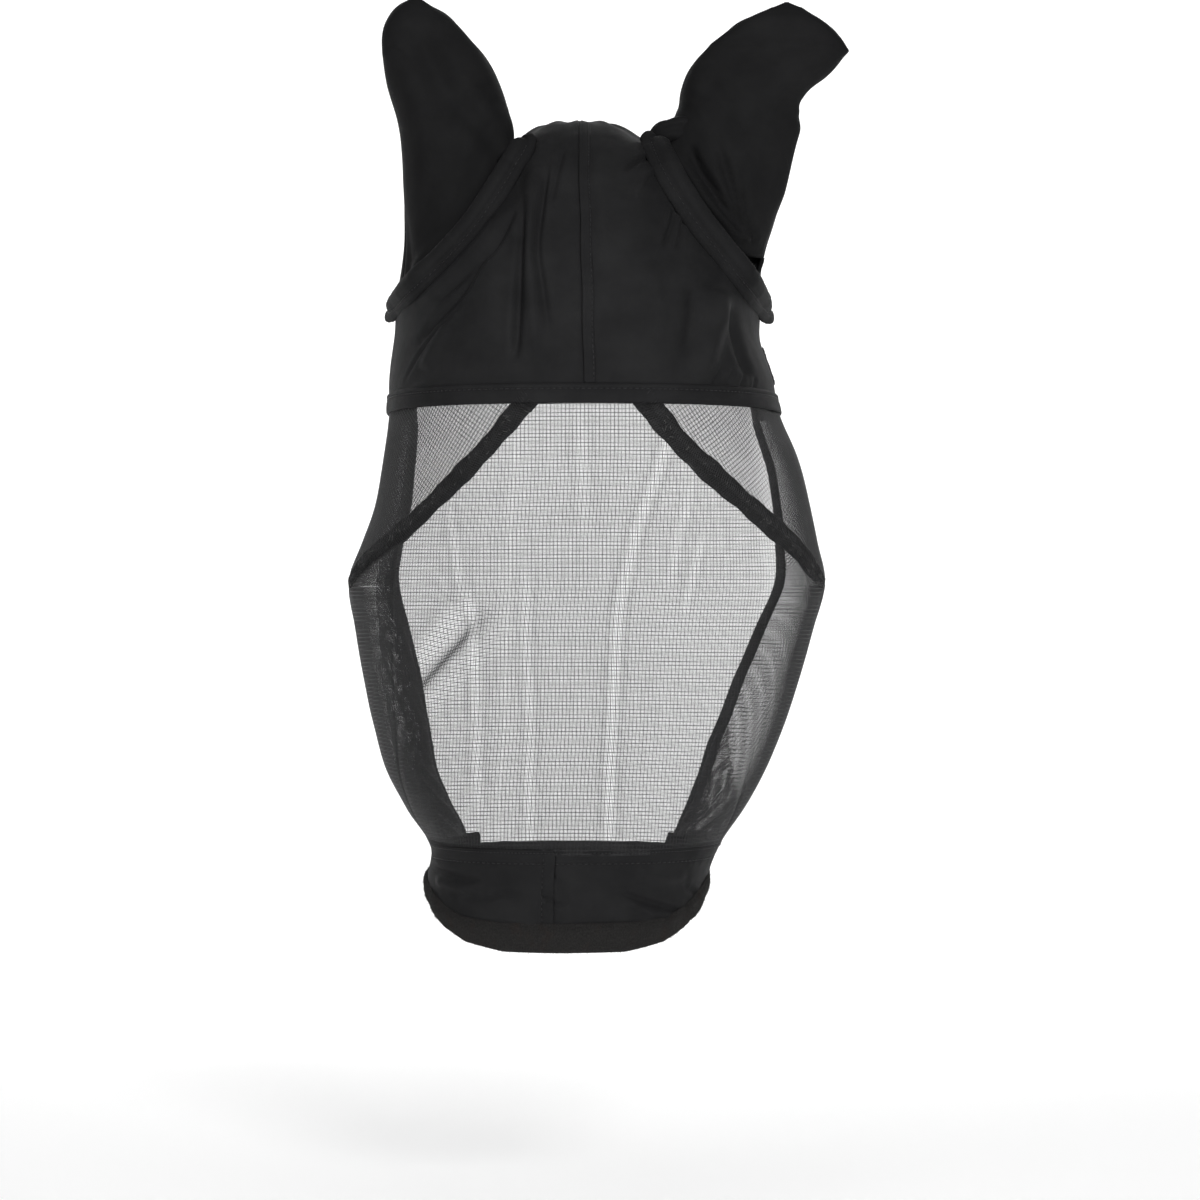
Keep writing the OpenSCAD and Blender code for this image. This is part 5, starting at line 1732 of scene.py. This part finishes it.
def pad(name, v0, v1, a0, a1, o0, o1, mat, hooks):
    """Hook or loop tape: a thin rounded plate with rows of small hooks, or a mat of loops, on its working side."""
    A = np.linspace(a0, a1, 60)
    Q = np.array(rounded(v0, v1, o0, o1, 12, 0.4))
    G = np.stack([np.broadcast_to(A[:, None], (60, len(Q))), np.broadcast_to(Q[None, :, 0], (60, len(Q))), np.broadcast_to(Q[None, :, 1], (60, len(Q)))], -1)
    P = surf(G[..., 0], G[..., 1], G[..., 2])
    L = np.concatenate([[0], np.cumsum(np.linalg.norm(np.diff(P[:, 0], axis=0), axis=1))])
    fab = np.stack([np.broadcast_to(L[:, None], P.shape[:2]), np.broadcast_to(Q[None, :, 0], P.shape[:2]), np.zeros(P.shape[:2])], -1)
    m, k = P.shape[:2]
    F = [grid_faces(m, k, 0, True)]
    for e, flip in ((0, True), (m - 1, False)):
        idx = np.arange(k) + e * k
        q = np.array([[idx[i], idx[i + 1], idx[k - 2 - i], idx[k - 1 - i]] for i in range(k // 2 - 1)])
        F.append(q if flip else q[:, ::-1])
    ob = make(name, P.reshape(-1, 3), np.concatenate(F), mat, True, fab.reshape(-1, 3))
    bag = Bag()
    r = np.random.default_rng(int(v0))
    length = L[-1]
    na, nv = int(length / 1.5), int((v1 - v0 - 1.2) / 1.5)
    for i in range(na):
        for j in range(nv):
            a = a0 + (a1 - a0) * (i + 0.7) / (na + 0.4)
            v = v0 + 0.9 + (v1 - v0 - 1.8) * j / max(1, nv - 1)
            if hooks:
                q = np.linspace(0, math.pi * 1.15, 6)
                da = 0.32 * np.sin(q) * (1 if j % 2 else -1)
                o = o0 - 0.05 - 0.36 * (1 - np.cos(q)) / 2 * 1.0
                C = surf(a + da * (a1 - a0) / length, np.full(6, v) + 0 * q, o)
            else:
                q = np.linspace(0, math.pi, 6)
                th = r.uniform(0, math.pi)
                C = surf(a + 0.45 * np.cos(q) * math.cos(th) * (a1 - a0) / length + r.normal(0, 0.25) * (a1 - a0) / length,
                         v + 0.45 * np.cos(q) * math.sin(th) + r.normal(0, 0.2), o1 - 0.1 + 0.42 * np.sin(q))
            Vv, Ff = tube(C, 0.11 if hooks else 0.09, 4)
            bag.add(Vv, Ff, [L[-1] * i / na, v, 0])
    return ob, bag.done(name + "_pile", mat)


throat_pad, throat_hooks = pad("throat_hook_tape", 327.5, 346.5, 100.5, 109, 3.4, 4.6, M_HOOK, True)
throat_patch, throat_loops = pad("throat_loop_tape", 325.5, 348.5, 97.5, 109.5, 1.7, 2.6, M_LOOP, False)
chin_pad, chin_hooks = pad("chin_hook_tape", 40.4, 50.6, 112.5, 130, 5.3, 6.6, M_HOOK, True)
chin_patch, chin_loops = pad("chin_loop_tape", 39.2, 52.0, 109, 132, 3.4, 4.5, M_LOOP, False)

stitch_all = STITCH.done("hood_stitches", M_STITCH)
lint = LINT.done("lint_fibres", M_LINT)

# ------------------------------------------------------------------ bodies, hidden CAD parts, cloth cuts printed
ON_THROAT = [throat, throat_pad, throat_hooks, throat_st]
ON_CHIN = [chin, chin_pad, chin_hooks, chin_st]
EARS_L, EARS_R = [ear_fl, ear_bl], [ear_fr, ear_br]
for o in scene.objects:
    if o.type != "MESH" or o is stage or o in BARE:
        continue
    if o in ON_THROAT:
        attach(o, "throat_strap_body")
    elif o in ON_CHIN:
        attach(o, "chin_strap_body")
    elif o in EARS_L:
        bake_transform(o)
    elif o in EARS_R:
        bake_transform(o)
    else:
        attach(o, "mask")

for o, node in ((hood_l, "hood_left"), (hood_r, "hood_right"), (poll, "poll_seam"), (hem, "brow_hem"),
                (rim_l, "ear_rim_left"), (rim_r, "ear_rim_right"), (ear_fl, "ear_cover_front_left"),
                (ear_bl, "ear_cover_back_left"), (ear_fr, "ear_cover_front_right"), (ear_br, "ear_cover_back_right"),
                (net_sl, "side_net_left"), (net_sr, "side_net_right"), (dart_l, "dart_tape_left"),
                (dart_r, "dart_tape_right"), (nose_l, "noseband_left"), (nose_r, "noseband_right"),
                (nose_seam, "noseband_seam"), (overlock, "noseband_overlock"), (nose_bind, "nose_edge_binding"),
                (jaw_l, "jaw_binding_left"), (jaw_r, "jaw_binding_right"), (neck_l, "neck_binding_left"),
                (neck_r, "neck_binding_right"), (throat, "throat_strap"), (throat_pad, "throat_strap_hook_pad"),
                (throat_patch, "throat_loop_patch"), (chin, "chin_strap"), (chin_pad, "chin_strap_hook_pad"),
                (chin_patch, "chin_loop_patch")):
    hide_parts(node)
for o in net_face + cheek:
    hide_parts("face_net")


def cloth_area(ob):
    """Area of one side of a thin closed cloth, m2."""
    a = np.zeros(len(ob.data.polygons))
    ob.data.polygons.foreach_get("area", a)
    return float(a.sum()) / 2


def flat_area(ob):
    """Area in the cut, m2, in the cloth's own flat coordinates: for a net from thread length and spacing."""
    if "flat_area" in ob:
        return float(ob["flat_area"])
    me = ob.data
    q = np.zeros(len(me.vertices) * 3)
    me.attributes["fab"].data.foreach_get("vector", q)
    q = q.reshape(-1, 3)[:, :2] / 1000
    me.calc_loop_triangles()
    t = np.zeros(len(me.loop_triangles) * 3, int)
    me.loop_triangles.foreach_get("vertices", t)
    a, b, c = (q[t.reshape(-1, 3)[:, i]] for i in range(3))
    return float(np.abs((b[:, 0] - a[:, 0]) * (c[:, 1] - a[:, 1]) - (b[:, 1] - a[:, 1]) * (c[:, 0] - a[:, 0])).sum()) / 4


def cut_size(ob):
    """Width and length of the cut, m, rounded up to whole millimetres."""
    q = np.zeros(len(ob.data.vertices) * 3)
    ob.data.attributes["fab"].data.foreach_get("vector", q)
    q = q.reshape(-1, 3)
    return math.ceil(float(np.ptp(q[:, 0]))) / 1000, math.ceil(float(np.ptp(q[:, 1]))) / 1000


def cloth(ob, wide, long, rests_on, with_pieces=(), area=None):
    """Prints a stretched cloth cut to wide by long (m), its area in the cut taken from its flat coordinates if none is
    given, and how much it stretches and fills its cut.
    """
    area = flat_area(ob) if area is None else area
    print("CLOTH", ob.name, wide, long, round(area, 5), round(cloth_area(ob) / area, 3), round(area / wide / long, 3))


cloth(hood_l, *cut_size(hood_l), ["brow_hem_fold"])
cloth(hood_r, *cut_size(hood_r), ["brow_hem_fold"])
for o in (ear_fl, ear_bl, ear_fr, ear_br):
    cloth(o, 0.11, 0.17, ["ear_rim_band_left" if o in EARS_L else "ear_rim_band_right"], area=cloth_area(o) / 1.05)
for o in (nose_l, nose_r):
    cloth(o, *cut_size(o), ["nose_edge_binding_roll"])
for o in net_face + [net_sl, net_sr]:
    cloth(o, round(o["wide"], 3), round(o["long"], 3), ["brow_hem_fold"])
for o in cheek:
    cloth(o, max(0.012, round(flat_area(o) / 0.75 / o["long"], 3)), round(o["long"], 3), ["brow_hem_fold"])
